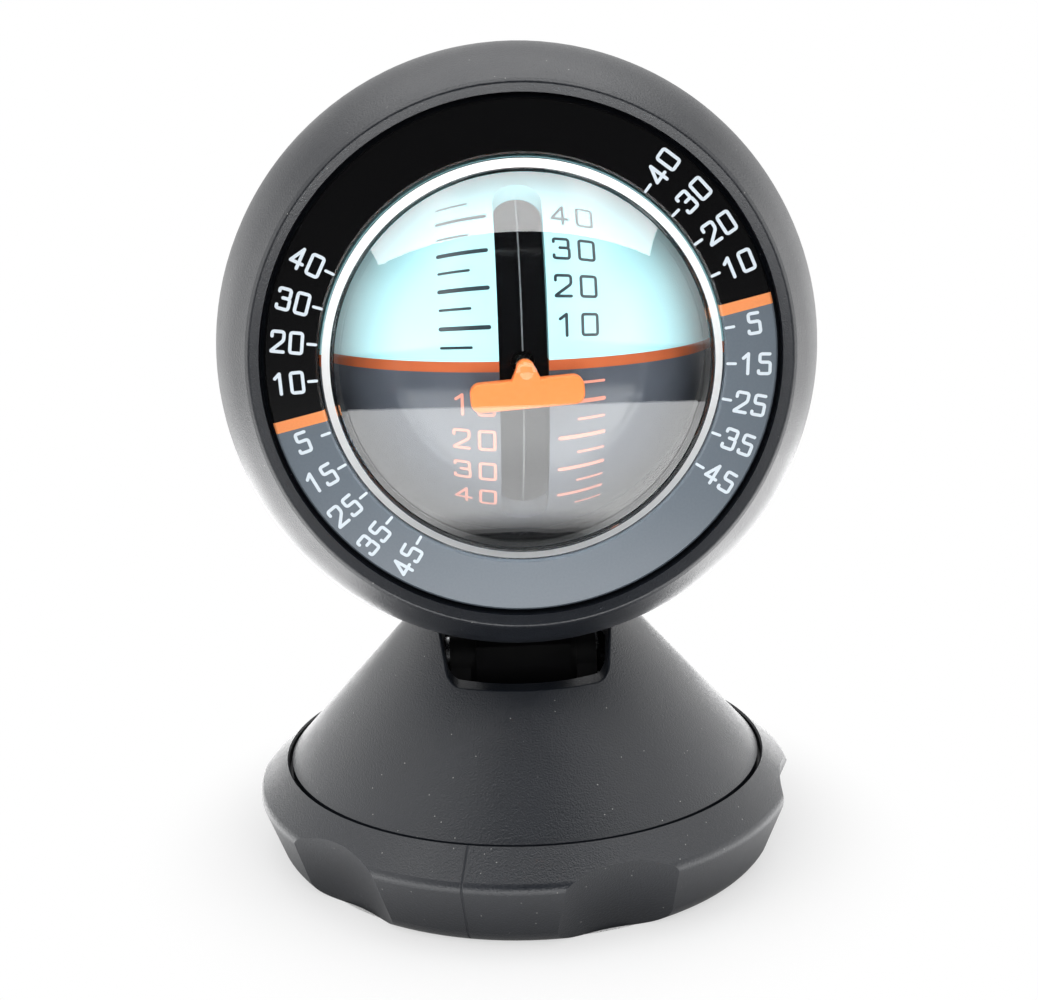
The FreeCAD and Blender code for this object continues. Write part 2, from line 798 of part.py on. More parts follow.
def tilt_hinge():
    """Bolt along X through the lugs and the arm, with a nut and two friction washers."""
    half_arm = dims.arm_width / 2
    washer_end = half_arm + dims.friction_washer_thickness
    lug_end = washer_end + dims.lug_thickness
    head = cylinder(dims.bolt_head_radius, dims.bolt_head_height, -lug_end - dims.bolt_head_height, 0,
                    dims.hinge_height, ALONG_X)
    shank_length = lug_end * 2 + dims.nut_height + dims.bolt_beyond_nut
    shank = cylinder(dims.hinge_pin_radius, shank_length, -lug_end, 0, dims.hinge_height, ALONG_X)
    keep(fuse([head, shank]), "hinge_bolt")
    nut = document.addObject("Part::Prism", "Prism")
    nut.Polygon = 6
    bind(nut, "Circumradius", dims.nut_across_flats / math.sqrt(3))
    bind(nut, "Height", dims.nut_height)
    place(nut, lug_end, 0, dims.hinge_height, ALONG_X)
    bore = cylinder(dims.hinge_pin_radius, dims.nut_height, lug_end, 0, dims.hinge_height, ALONG_X)
    keep(cut(nut, bore), "hinge_nut")
    washers = []
    for start in (-washer_end, half_arm):
        disc = cylinder(dims.friction_washer_radius, dims.friction_washer_thickness, start, 0,
                        dims.hinge_height, ALONG_X)
        hole = cylinder(dims.hinge_pin_radius, dims.friction_washer_thickness, start, 0,
                        dims.hinge_height, ALONG_X)
        washers.append(cut(disc, hole))
    keep(group(washers), "hinge_friction_washers")


shell_centre_y = dims.shell_centre_depth - dims.dial_forward


def neck_arm():
    """Short arm: a barrel on the hinge bolt that widens to a saddle under the round rear shell."""
    body = new_body("neck_arm")
    sketch = sketch_on(body, "YZ_Plane")
    barrel = dims.arm_barrel_radius
    flare_height = dims.shell_bottom_height - dims.saddle_depth
    top = dims.shell_bottom_height + dims.arm_barrel_radius
    outline(sketch, [
        (-barrel, dims.hinge_height),
        (barrel, dims.hinge_height, 0, dims.hinge_height - barrel),
        (barrel, dims.arm_neck_height),
        (dims.saddle_back, flare_height),
        (dims.saddle_back, top),
        (-dims.saddle_front, top),
        (-dims.saddle_front, flare_height),
        (-barrel, dims.arm_neck_height),
    ])
    pad(body, sketch, dims.arm_width, symmetric=True)
    before = body.Shape.Volume
    bowl = body.newObject("PartDesign::SubtractiveSphere", "Bowl")
    bind(bowl, "Radius", dims.shell_radius)
    place(bowl, 0, shell_centre_y, axis_height)
    document.recompute()
    if body.Shape.Volume >= before:
        raise RuntimeError("neck_arm: the saddle is not cut")
    sketch = sketch_on(body, "YZ_Plane")
    circle(sketch, 0, dims.hinge_height, dims.hinge_pin_radius + dims.running_clearance)
    pocket(body, sketch, dims.arm_width, symmetric=True)
    sketch = sketch_on(body, "XY_Plane", neck_tip_height)
    for y in (-dims.neck_screw_front, dims.neck_screw_back):
        circle(sketch, 0, y, dims.neck_screw_radius)
    pocket(body, sketch, neck_seat_height - neck_tip_height, reverse=True)


def neck_screws():
    """Two screws down through the rear shell into the saddle."""
    length = neck_seat_height - neck_tip_height
    head_top = neck_seat_height + dims.neck_screw_head_height
    screws = []
    for y in (-dims.neck_screw_front, dims.neck_screw_back):
        screws.append(screw(dims.neck_screw_radius, length, dims.neck_screw_head_radius,
                            dims.neck_screw_head_height, 0, y, head_top, UPSIDE_DOWN))
    keep(group(screws), "neck_screws")


stem_seat = ball_centre_depth + ball_radius + dims.stem_boss_gap


def rear_shell():
    """Round bowl with a spigot for the bezel in front and a boss for the stem at the back."""
    body = new_body("rear_shell")
    outer = dims.shell_radius
    inner = outer - dims.shell_wall
    centre = dims.shell_centre_depth
    diagonal = math.sin(math.radians(45))
    edge = leg(outer, centre - dims.shell_front_depth)
    bore = spigot_radius - dims.spigot_wall
    seal_half = dims.friction_ring_radius * 1.4
    snap_half = dims.snap_width / 2 + dims.snap_depth + dims.running_clearance * 2
    seal_floor = spigot_radius - dims.seal_groove_depth
    snap_floor = spigot_radius - dims.snap_depth
    revolve(body, [
        (bore, -dims.spigot_front_depth),
        (bore, -dims.spigot_front_depth - dims.spigot_inside_length),
        (inner, -centre),
        (dims.stem_boss_radius, -centre - leg(inner, dims.stem_boss_radius),
         inner * diagonal, -centre - inner * diagonal),
        (dims.stem_boss_radius, -stem_seat),
        (dims.stem_radius, -stem_seat),
        (dims.stem_radius, -stem_seat - dims.stem_socket_depth),
        (0, -stem_seat - dims.stem_socket_depth),
        (0, -centre - outer),
        (edge, -dims.shell_front_depth, outer * diagonal, -centre - outer * diagonal),
        (spigot_radius, -dims.shell_front_depth),
        (spigot_radius, -dims.snap_centre_depth - snap_half),
        (snap_floor, -dims.snap_centre_depth - snap_half),
        (snap_floor, -dims.snap_centre_depth + snap_half),
        (spigot_radius, -dims.snap_centre_depth + snap_half),
        (spigot_radius, -dims.seal_centre_depth - seal_half),
        (seal_floor, -dims.seal_centre_depth - seal_half),
        (seal_floor, -dims.seal_centre_depth + seal_half),
        (spigot_radius, -dims.seal_centre_depth + seal_half),
        (spigot_radius, -dims.spigot_front_depth),
    ])
    sketch = sketch_on(body, "XY_Plane", -dims.spigot_front_depth - dims.mask_boss_length)
    x, y = next(on_circle(mask_screw_circle, dims.mask_screw_count, 90))
    circle(sketch, x, y, dims.mask_boss_radius)
    boss = pad(body, sketch, dims.mask_boss_length)
    polar(body, [boss], dims.mask_screw_count)
    sketch = sketch_on(body, "XY_Plane", -dims.spigot_front_depth)
    circle(sketch, x, y, dims.mask_screw_radius)
    pilot = pocket(body, sketch, dims.mask_screw_length - dims.mask_flange_thickness)
    polar(body, [pilot], dims.mask_screw_count)
    seat = axis_height - neck_seat_height
    shank = dims.neck_screw_radius + dims.screw_clearance
    head = dims.neck_screw_head_radius + dims.screw_clearance
    for radius, reverse in ((head, False), (shank, True)):
        sketch = sketch_on(body, "XZ_Plane", seat)
        for y in (-dims.neck_screw_front, dims.neck_screw_back):
            circle(sketch, 0, -dims.dial_forward - y, radius)
        pocket(body, sketch, dims.shell_wall * 1.5, reverse=reverse)
    place_on_dial(body)


def ball_mask():
    """Dark funnel that closes the gap between the lens and the ball, screwed to the spigot."""
    body = new_body("ball_mask")
    flange_front = dims.spigot_front_depth - dims.mask_flange_thickness
    front_radius = bezel_opening + dims.mask_front_gap
    back_radius = ball_radius + dims.mask_ball_gap
    lean = (back_radius - front_radius) / (dims.mask_back_depth - dims.mask_front_depth)
    at_flange = front_radius + dims.mask_wall + lean * (flange_front - dims.mask_front_depth)
    behind_flange = at_flange + lean * dims.mask_flange_thickness
    revolve(body, [
        (front_radius, -dims.mask_front_depth),
        (front_radius + dims.mask_wall, -dims.mask_front_depth),
        (at_flange, -flange_front),
        (mask_flange_radius, -flange_front),
        (mask_flange_radius, -dims.spigot_front_depth),
        (behind_flange, -dims.spigot_front_depth),
        (back_radius + dims.mask_wall, -dims.mask_back_depth),
        (back_radius, -dims.mask_back_depth),
    ])
    sketch = sketch_on(body, "XY_Plane", -flange_front)
    x, y = next(on_circle(mask_screw_circle, dims.mask_screw_count, 90))
    circle(sketch, x, y, dims.mask_screw_radius + dims.screw_clearance)
    hole = pocket(body, sketch, dims.mask_flange_thickness)
    notch_sketch = sketch_on(body, "XY_Plane", -dims.spigot_front_depth)
    circle(notch_sketch, x, y, dims.mask_boss_radius + dims.plate_clearance)
    notch = pocket(body, notch_sketch, dims.mask_back_depth - dims.spigot_front_depth)
    polar(body, [hole, notch], dims.mask_screw_count)
    place_on_dial(body)


def mask_screws():
    """Three small screws through the mask into the spigot's bosses."""
    front = dims.spigot_front_depth - dims.mask_flange_thickness - dims.mask_screw_head_height
    screws = []
    for x, y in on_circle(mask_screw_circle, dims.mask_screw_count, 90):
        screws.append(screw(dims.mask_screw_radius, dims.mask_screw_length, dims.mask_screw_head_radius,
                            dims.mask_screw_head_height, x, y, -front, UPSIDE_DOWN))
    item = group(screws)
    place_on_dial(item)
    keep(item, "mask_screws")


def bezel_friction_ring():
    """Rubber ring in the spigot's groove, which keeps the bezel where it is turned."""
    ring = document.addObject("Part::Torus", "Torus")
    seal_floor = spigot_radius - dims.seal_groove_depth
    bind(ring, "Radius1", seal_floor + dims.friction_ring_radius)
    bind(ring, "Radius2", dims.friction_ring_radius)
    place_on_dial(ring, dims.seal_centre_depth)
    keep(ring, "bezel_friction_ring")


def bezel():
    """Turning rim: a rounded cone in front, a snap bead inside and a ledge for scale ring and lens."""
    body = new_body("bezel")
    bead = bezel_skirt - dims.snap_depth
    opening = dims.scale_radius + dims.scale_gap
    lip_radius = opening + dims.bezel_lip_chamfer
    face_radius = lip_radius + dims.bezel_edge_width
    run = bezel_radius - face_radius
    face_front = dims.bezel_lip_forward - dims.bezel_edge_drop
    rise = face_front + dims.bezel_widest_depth
    sweep = (run * run + rise * rise) / (run * 2)
    part_sine = root(run / sweep / 2)
    part_cosine = root(1 - run / sweep / 2)
    end = dims.shell_front_depth - dims.bezel_gap
    end_radius = leg(dims.shell_radius, dims.shell_centre_depth - end) + dims.bezel_overhang
    lens_back = dims.scale_thickness + dims.lens_flange_thickness + dims.lens_seal_thickness
    roll = bezel_radius - end_radius
    revolve(body, [
        (lip_radius, dims.bezel_lip_forward),
        (face_radius, face_front),
        (bezel_radius, -dims.bezel_widest_depth,
         bezel_radius - sweep * (1 - part_cosine), sweep * part_sine - dims.bezel_widest_depth),
        (end_radius, -end, bezel_radius - roll * 0.25, -(dims.bezel_widest_depth + end) / 2),
        (bezel_skirt, -end),
        (bezel_skirt, -dims.snap_centre_depth - dims.snap_width / 2 - dims.snap_depth),
        (bead, -dims.snap_centre_depth - dims.snap_width / 2),
        (bead, -dims.snap_centre_depth + dims.snap_width / 2),
        (bezel_skirt, -dims.snap_centre_depth + dims.snap_width / 2 + dims.snap_depth),
        (bezel_skirt, -dims.bezel_ledge_back_depth),
        (bezel_opening, -dims.bezel_ledge_back_depth),
        (bezel_opening, -lens_back),
        (lens_recess_radius, -lens_back),
        (lens_recess_radius, -dims.scale_thickness),
        (opening, -dims.scale_thickness),
        (opening, dims.bezel_lip_forward - dims.bezel_lip_chamfer),
    ])
    soften(body, dims.bezel_edge_round, rim_at(lip_radius, dims.bezel_lip_forward))
    soften(body, dims.bezel_edge_round, rim_at(face_radius, face_front))
    place_on_dial(body)


def scale_ring():
    """Flat printed ring with bevelled edges, resting on the bezel's ledge."""
    body = new_body("scale_ring")
    bore = dims.lens_radius + dims.lens_gap
    bevel = dims.scale_bevel
    revolve(body, [
        (bore, -dims.scale_thickness),
        (dims.scale_radius, -dims.scale_thickness),
        (dims.scale_radius, -bevel),
        (dims.scale_radius - bevel, 0),
        (bore + bevel, 0),
        (bore, -bevel),
    ])
    place_on_dial(body)


def lens_dome():
    """Clear domed lens with a bevelled skirt and a flange behind the scale ring."""
    body = new_body("lens_dome")
    flange_back = dims.scale_thickness + dims.lens_flange_thickness
    cap_radius = dims.lens_radius - dims.lens_bevel
    cap_foot = dims.lens_skirt_forward + dims.lens_bevel - dims.lens_step
    foot_radius = cap_radius - dims.lens_step
    rise = dims.lens_height - cap_foot
    sphere = (foot_radius * foot_radius + rise * rise) / (rise * 2)
    half = cap_radius / 2
    outer_half_height = dims.lens_height - sphere + leg(sphere, half)
    inside = cap_radius - dims.lens_wall * 0.5
    inner_sphere = sphere - dims.lens_wall
    inner_foot = dims.lens_height - sphere + leg(inner_sphere, inside)
    revolve(body, [
        (lens_flange_radius, -flange_back),
        (lens_flange_radius, -dims.scale_thickness),
        (dims.lens_radius, -dims.scale_thickness),
        (dims.lens_radius, dims.lens_skirt_forward),
        (cap_radius, dims.lens_skirt_forward + dims.lens_bevel),
        (foot_radius, cap_foot),
        (0, dims.lens_height, half, outer_half_height),
        (0, dims.lens_height - dims.lens_wall),
        (inside, inner_foot, half, dims.lens_height - sphere + leg(inner_sphere, half)),
        (dims.lens_radius - dims.lens_wall, -dims.scale_thickness),
        (dims.lens_radius - dims.lens_wall, -flange_back),
    ])
    place_on_dial(body)


def lens_seal():
    """Flat rubber gasket between the lens flange and the bezel's ledge."""
    back = dims.scale_thickness + dims.lens_flange_thickness + dims.lens_seal_thickness
    ring = tube(lens_flange_radius, bezel_opening, -back, dims.lens_seal_thickness)
    place_on_dial(ring)
    keep(ring, "lens_seal")


marker_back = ball_radius - ball_centre_depth + dims.marker_stand_off


def stem():
    """Fixed steel rod along the dial axis, pressed into the rear boss, with a pin for the marker."""
    rod_start = -stem_seat - dims.stem_socket_depth
    rod = cylinder(dims.stem_radius, marker_back - rod_start, z=rod_start)
    pin = cylinder(dims.spigot_pin_radius, dims.spigot_pin_length, z=marker_back)
    item = fuse([rod, pin])
    place_on_dial(item)
    keep(item, "stem")


def stem_clips():
    """Two clips on the stem, one on each side of the hub."""
    reach = dims.hub_length / 2 + dims.running_clearance * 2
    clips = []
    for start in (reach, -reach - dims.clip_thickness):
        clips.append(tube(dims.clip_radius, dims.stem_radius, start, dims.clip_thickness))
    item = group(clips)
    place_on_dial(item, ball_centre_depth)
    keep(item, "stem_clips")


def pitch_marker():
    """Orange bar with rounded ends, hung from a small nub on the end of the stem."""
    body = new_body("pitch_marker")
    sketch = sketch_on(body, "XY_Plane", marker_back)
    half = dims.marker_length / 2
    top = dims.marker_height / 2 - dims.marker_drop
    low = -dims.marker_height / 2 - dims.marker_drop
    corner = dims.marker_corner
    round_in = corner * (1 - math.sin(math.radians(45)))
    nub = dims.marker_nub_radius
    foot = dims.marker_nub_foot / 2
    outline(sketch, [
        (half - corner, low),
        (half, low + corner, half - round_in, low + round_in),
        (half, top - corner),
        (half - corner, top, half - round_in, top - round_in),
        (foot, top),
        (nub, 0),
        (-nub, 0, 0, nub),
        (-foot, top),
        (corner - half, top),
        (-half, top - corner, round_in - half, top - round_in),
        (-half, low + corner),
        (corner - half, low, round_in - half, low + round_in),
    ])
    pad(body, sketch, dims.marker_thickness)
    front = (marker_back + dims.marker_thickness).number
    soften(body, dims.marker_edge_round, lambda edge: abs(edge.BoundBox.ZMin - front) < 0.01)
    sketch = sketch_on(body, "XY_Plane", marker_back)
    circle(sketch, 0, 0, dims.spigot_pin_radius)
    pocket(body, sketch, dims.spigot_pin_length, reverse=True)
    place_on_dial(body, turn=FreeCAD.Rotation(Vector(0, 0, 1), dims.marker_lean.number))


def gimbal_hub():
    """Sleeve that rolls on the stem, with an arm out to each trunnion pin."""
    sleeve = cylinder(dims.hub_radius, dims.hub_length, z=-dims.hub_length / 2)
    arms = cylinder(dims.gimbal_arm_radius, gimbal_arm_reach * 2, -gimbal_arm_reach, turn=ALONG_X)
    bore = cylinder(dims.stem_radius + dims.running_clearance, dims.hub_length, z=-dims.hub_length / 2)
    pin_length = gimbal_arm_reach - trunnion_start
    left = cylinder(dims.trunnion_radius, pin_length, -trunnion_start, turn=AGAINST_X)
    right = cylinder(dims.trunnion_radius, pin_length, trunnion_start, turn=ALONG_X)
    item = cut(fuse([sleeve, arms]), fuse([bore, left, right]))
    place_on_dial(item, ball_centre_depth)
    keep(item, "gimbal_hub")


def trunnion_pins():
    """Two steel pins in the ends of the gimbal arms."""
    length = trunnion_end - trunnion_start
    left = cylinder(dims.trunnion_radius, length, -trunnion_start, turn=AGAINST_X)
    right = cylinder(dims.trunnion_radius, length, trunnion_start, turn=ALONG_X)
    item = group([left, right])
    place_on_dial(item, ball_centre_depth)
    keep(item, "trunnion_pins")


def slot_drum():
    """Two thin dishes on the hub that meet rim to rim behind the slot and close the view into the ball."""
    half = dims.drum_width / 2
    inner = drum_radius - dims.drum_wall
    halves = []
    for start, turn in ((0, ALONG_X), (0, AGAINST_X)):
        dish = cylinder(drum_radius, half, start, turn=turn)
        rim = cylinder(drum_radius + dims.drum_rim_height, dims.drum_rim_width, start, turn=turn)
        drum = fuse([dish, rim])
        hollow = cylinder(inner, half - dims.drum_wall, start, turn=turn)
        arm = cylinder(dims.gimbal_arm_radius, half, start, turn=turn)
        stem_hole = cylinder(dims.drum_stem_hole_radius, ball_radius * 2, z=-ball_radius)
        halves.append(cut(drum, fuse([hollow, arm, stem_hole])))
    item = group(halves)
    place_on_dial(item, ball_centre_depth)
    keep(item, "slot_drum")


def number(alias):
    """A driving dimension read from the sheet, for shapes set in code."""
    return float(sheet.get(alias))


def slot_cutter(half_width, reach):
    """Front and back slot of the ball up to a latitude, with round ends, as a solid."""
    radius = ball_radius.number
    end = math.radians(reach) - half_width / radius
    far = radius * 1.1 / math.cos(end)
    pieces = []
    for side in (1, -1):
        tip = Vector(0, far * math.sin(end), side * far * math.cos(end))
        low = Vector(0, -tip.y, tip.z)
        wedge = Part.Face(Part.makePolygon([Vector(), tip, low, Vector()]))
        wedge.translate(Vector(-half_width, 0, 0))
        pieces.append(wedge.extrude(Vector(half_width * 2, 0, 0)))
        for direction in (tip, low):
            pieces.append(Part.makeCylinder(half_width, far, Vector(), direction))
    return pieces[0].multiFuse(pieces[1:])


def half_ball(side):
    """Upper (side 1) or lower (side -1) half of the ball, slotted, lipped and with bearing cradles."""
    radius = ball_radius.number
    inner = radius - number("ball_wall")
    half_slot = number("slot_width") / 2
    lip = number("slot_lip_width")
    seat = number("band_height") / 2
    outer_ball = Part.makeSphere(radius)
    shell = outer_ball.cut(Part.makeSphere(inner))
    lips = slot_cutter(half_slot + lip, number("slot_reach") + math.degrees(lip / radius))
    lips = lips.common(outer_ball.cut(Part.makeSphere(slot_lip_inner.number)))
    half_width = number("cradle_half_width")
    start = bush_start.number
    cradles = []
    for end in (1, -1):
        corner = Vector(start if end > 0 else -radius, -number("cradle_height"), -half_width)
        block = Part.makeBox(radius - start, number("cradle_height") * 2, half_width * 2, corner)
        cradles.append(block.common(outer_ball))
    solid = shell.multiFuse([lips] + cradles)
    solid = solid.cut(slot_cutter(half_slot, number("slot_reach")))
    reach = bush_end.number
    bush = Part.makeCylinder(number("bush_radius"), reach * 2, Vector(-reach, 0, 0), Vector(1, 0, 0))
    solid = solid.cut(bush)
    if side < 0:
        drop = weight_drop.number
        weight_end = weight_start.number + number("weight_length")
        for end in (1, -1):
            post = Part.makeCylinder(number("weight_post_radius"), radius, Vector(end * weight_end, -drop, 0),
                                     Vector(end, 0, 0))
            hole = Part.makeCylinder(number("weight_screw_radius"),
                                     number("weight_screw_length") - number("weight_length")
                                     + number("weight_screw_head_height"),
                                     Vector(end * weight_end, -drop, 0), Vector(end, 0, 0))
            solid = solid.fuse(post.common(outer_ball)).cut(hole)
    bottom = seat if side > 0 else -radius * 1.1
    keep_box = Part.makeBox(radius * 2.2, radius * 1.1 - seat, radius * 2.2,
                            Vector(-radius * 1.1, bottom, -radius * 1.1))
    return solid.common(keep_box)


def ball_halves():
    """Light blue upper shell and dark grey lower shell."""
    for label, side in (("ball_sky_shell", 1), ("ball_ground_shell", -1)):
        item = document.addObject("Part::Feature", label)
        item.Shape = half_ball(side)
        place_on_dial(item, ball_centre_depth)
        keep(item, label)


def horizon_band():
    """Orange band between the shells, in two halves because the slot parts it."""
    radius = ball_radius.number
    seat = number("band_height") / 2
    half_slot = number("slot_width") / 2
    disc = Part.makeSphere(radius).cut(Part.makeSphere(radius - number("band_width")))
    halves = []
    for start in (half_slot, -radius):
        slab = Part.makeBox(radius - half_slot, seat * 2, radius * 2, Vector(start, -seat, -radius))
        halves.append(disc.common(slab))
    item = document.addObject("Part::Feature", "horizon_band")
    item.Shape = Part.makeCompound([solid for half in halves for solid in half.Solids])
    place_on_dial(item, ball_centre_depth)
    keep(item, "horizon_band")


def trunnion_bushes():
    """Two bushes clamped between the shells, running on the trunnion pins."""
    bushes = []
    length = bush_end - bush_start
    bore = dims.trunnion_radius + dims.running_clearance
    for sign, turn in ((1, ALONG_X), (-1, AGAINST_X)):
        start = bush_start * sign
        bushes.append(cut(cylinder(dims.bush_radius, length, start, turn=turn),
                          cylinder(bore, length, start, turn=turn)))
    item = group(bushes)
    place_on_dial(item, ball_centre_depth)
    keep(item, "trunnion_bushes")


def counterweights():
    """Brass slugs that keep the ball upright, each held to a post of the lower shell by a screw."""
    slugs = []
    screws = []
    head_height = dims.weight_screw_head_height
    for sign, turn in ((1, ALONG_X), (-1, AGAINST_X)):
        start = weight_start * sign
        slug = cylinder(dims.weight_radius, dims.weight_length, start, -weight_drop, 0, turn)
        hole = cylinder(dims.weight_screw_radius, dims.weight_length, start, -weight_drop, 0, turn)
        sink = cylinder(dims.weight_screw_head_radius, head_height, start, -weight_drop, 0, turn)
        slugs.append(cut(slug, fuse([hole, sink])))
        screws.append(screw(dims.weight_screw_radius, dims.weight_screw_length, dims.weight_screw_head_radius,
                            head_height, start, -weight_drop, 0, turn))
    for items, label in ((slugs, "counterweights"), (screws, "counterweight_screws")):
        item = group(items)
        place_on_dial(item, ball_centre_depth)
        keep(item, label)


adhesive_pad()
base_plate()
base_screws()
grip_ring()
turntable()
swivel_fittings()
cone_shell()
cone_screws()
tilt_hinge()
neck_arm()
neck_screws()
rear_shell()
ball_mask()
mask_screws()
bezel_friction_ring()
bezel()
scale_ring()
lens_dome()
lens_seal()
stem()
stem_clips()
pitch_marker()
gimbal_hub()
trunnion_pins()
slot_drum()
ball_halves()
horizon_band()
trunnion_bushes()
counterweights()
document.recompute()

for item in document.Objects:
    if "Invalid" in item.State or "Error" in item.State:
        raise RuntimeError(f"{item.Name} ({item.Label}) failed: {item.State}")
for item in parts:
    if item.Shape.isNull() or not item.Shape.isValid() or not item.Shape.Solids:
        raise RuntimeError(f"{item.Label} has no valid solid")

os.makedirs("parts", exist_ok=True)
for item in parts:
    item.Shape.exportStep(f"parts/{item.Label}.step")
print(f"{len(parts)} sub-parts, {sum(len(item.Shape.Solids) for item in parts)} solids")
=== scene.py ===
from math import cos, radians, sin

import bpy
import numpy as np
from mathutils import Matrix, Vector


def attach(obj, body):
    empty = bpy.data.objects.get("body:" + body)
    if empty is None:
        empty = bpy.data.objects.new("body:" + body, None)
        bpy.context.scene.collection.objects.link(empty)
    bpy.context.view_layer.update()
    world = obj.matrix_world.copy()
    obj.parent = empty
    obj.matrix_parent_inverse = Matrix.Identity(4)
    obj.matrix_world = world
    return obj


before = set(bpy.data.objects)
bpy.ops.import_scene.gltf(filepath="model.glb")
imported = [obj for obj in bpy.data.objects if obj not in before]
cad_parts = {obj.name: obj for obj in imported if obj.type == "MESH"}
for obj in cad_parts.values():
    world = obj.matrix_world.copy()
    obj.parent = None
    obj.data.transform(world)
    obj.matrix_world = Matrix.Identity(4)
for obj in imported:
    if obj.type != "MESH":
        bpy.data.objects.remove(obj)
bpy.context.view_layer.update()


# ---- Camera -------------------------------------------------------------------------------------
# The camera looks down at the meter by 13 degrees from 0.19 m away, the way a driver sees it on a
# dashboard, so the rim of the base shows as an ellipse; it is tipped a little to one side.
# Sizes are written in millimetres and MM turns them to metres.
MM = 0.001
LENS_LENGTH = 50.94
FILM_WIDTH = 36.0
camera_place = Vector((-9.47, -208.9, 99.56)) * MM
aim = Vector((-0.98, -24.0, 56.66)) * MM
forward = (aim - camera_place).normalized()
level = forward.cross(Vector((0, 0, 1))).normalized()
upward = level.cross(forward)
tip = radians(-1.54)
across = level * cos(tip) + upward * sin(tip)
above = upward * cos(tip) - level * sin(tip)
camera_data = bpy.data.cameras.new("camera")
camera_data.sensor_fit = "HORIZONTAL"
camera_data.sensor_width = FILM_WIDTH
camera_data.lens = LENS_LENGTH
camera_data.clip_start = 0.01
camera_data.clip_end = 20.0
camera = bpy.data.objects.new("camera", camera_data)
facing = Matrix((across, above, -forward)).transposed().to_4x4()
camera.matrix_world = Matrix.Translation(camera_place) @ facing
bpy.context.scene.collection.objects.link(camera)
bpy.context.scene.camera = camera


# ---- Case: base ring, cone stand, rear shell and bezel ------------------------------------------
# Injection-moulded black ABS from a spark-eroded mould. The eroded steel leaves an even satin grain
# that breaks up every highlight, drawn at twice its real width so that it shows; specks of dust
# cling to it. The bezel's lip is rolled, and the base ring has the mould's parting line.
def linear(text):
    """The linear red, green, blue and alpha of an sRGB colour written as six hex digits."""
    part = np.array([int(text[i:i + 2], 16) for i in (0, 2, 4)]) / 255
    return (*np.where(part <= 0.04045, part / 12.92, ((part + 0.055) / 1.055) ** 2.4), 1.0)


def new_material(name):
    """A material with an empty node tree, and that tree."""
    material = bpy.data.materials.new(name)
    material.use_nodes = True
    material.node_tree.nodes.clear()
    return material, material.node_tree


def add(tree, kind, inputs=None, **settings):
    """A new node; inputs gives each socket its value or the output that feeds it, settings its options."""
    node = tree.nodes.new("ShaderNode" + kind)
    for key, value in settings.items():
        setattr(node, key, value)
    for key, value in (inputs or {}).items():
        if isinstance(value, bpy.types.NodeSocket):
            tree.links.new(value, node.inputs[key])
        else:
            node.inputs[key].default_value = value
    return node


def dress(material, *names):
    """Gives CAD nodes a material."""
    for name in names:
        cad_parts[name].material_slots[0].material = material


AXIS_HEIGHT = 74.4
NOISE_SPAN = {"From Min": 0.3, "From Max": 0.7}
CASE_SATIN = (0.33, 0.40)
GRAIN_WIDTH = 0.25
GRAIN_DEPTH = 0.065
MOTTLE_WIDTH = 9
DUST_SPACING = 1.6
DUST_RADIUS = 0.055
DUST_SHARE = 0.6
POLE_RADIUS = 1.9
LIP_END = 36.5
LIP_CURVE = 76.0
PARTING_TURN = radians(-105.0)
PARTING_HALF = (0.07, 0.2)
PARTING_DEPTH = 0.15


def from_axis(tree, place):
    """The distance from the dial's axis, sqrt(x^2 + (z - axis)^2), at a point in object coordinates."""
    point = add(tree, "SeparateXYZ", {"Vector": place})
    rise = add(tree, "Math", {0: point.outputs["Z"], 1: AXIS_HEIGHT * MM}, operation="SUBTRACT")
    level_point = add(tree, "CombineXYZ", {"X": point.outputs["X"], "Z": rise.outputs["Value"]})
    return add(tree, "VectorMath", {0: level_point.outputs["Vector"]},
               operation="LENGTH").outputs["Value"]


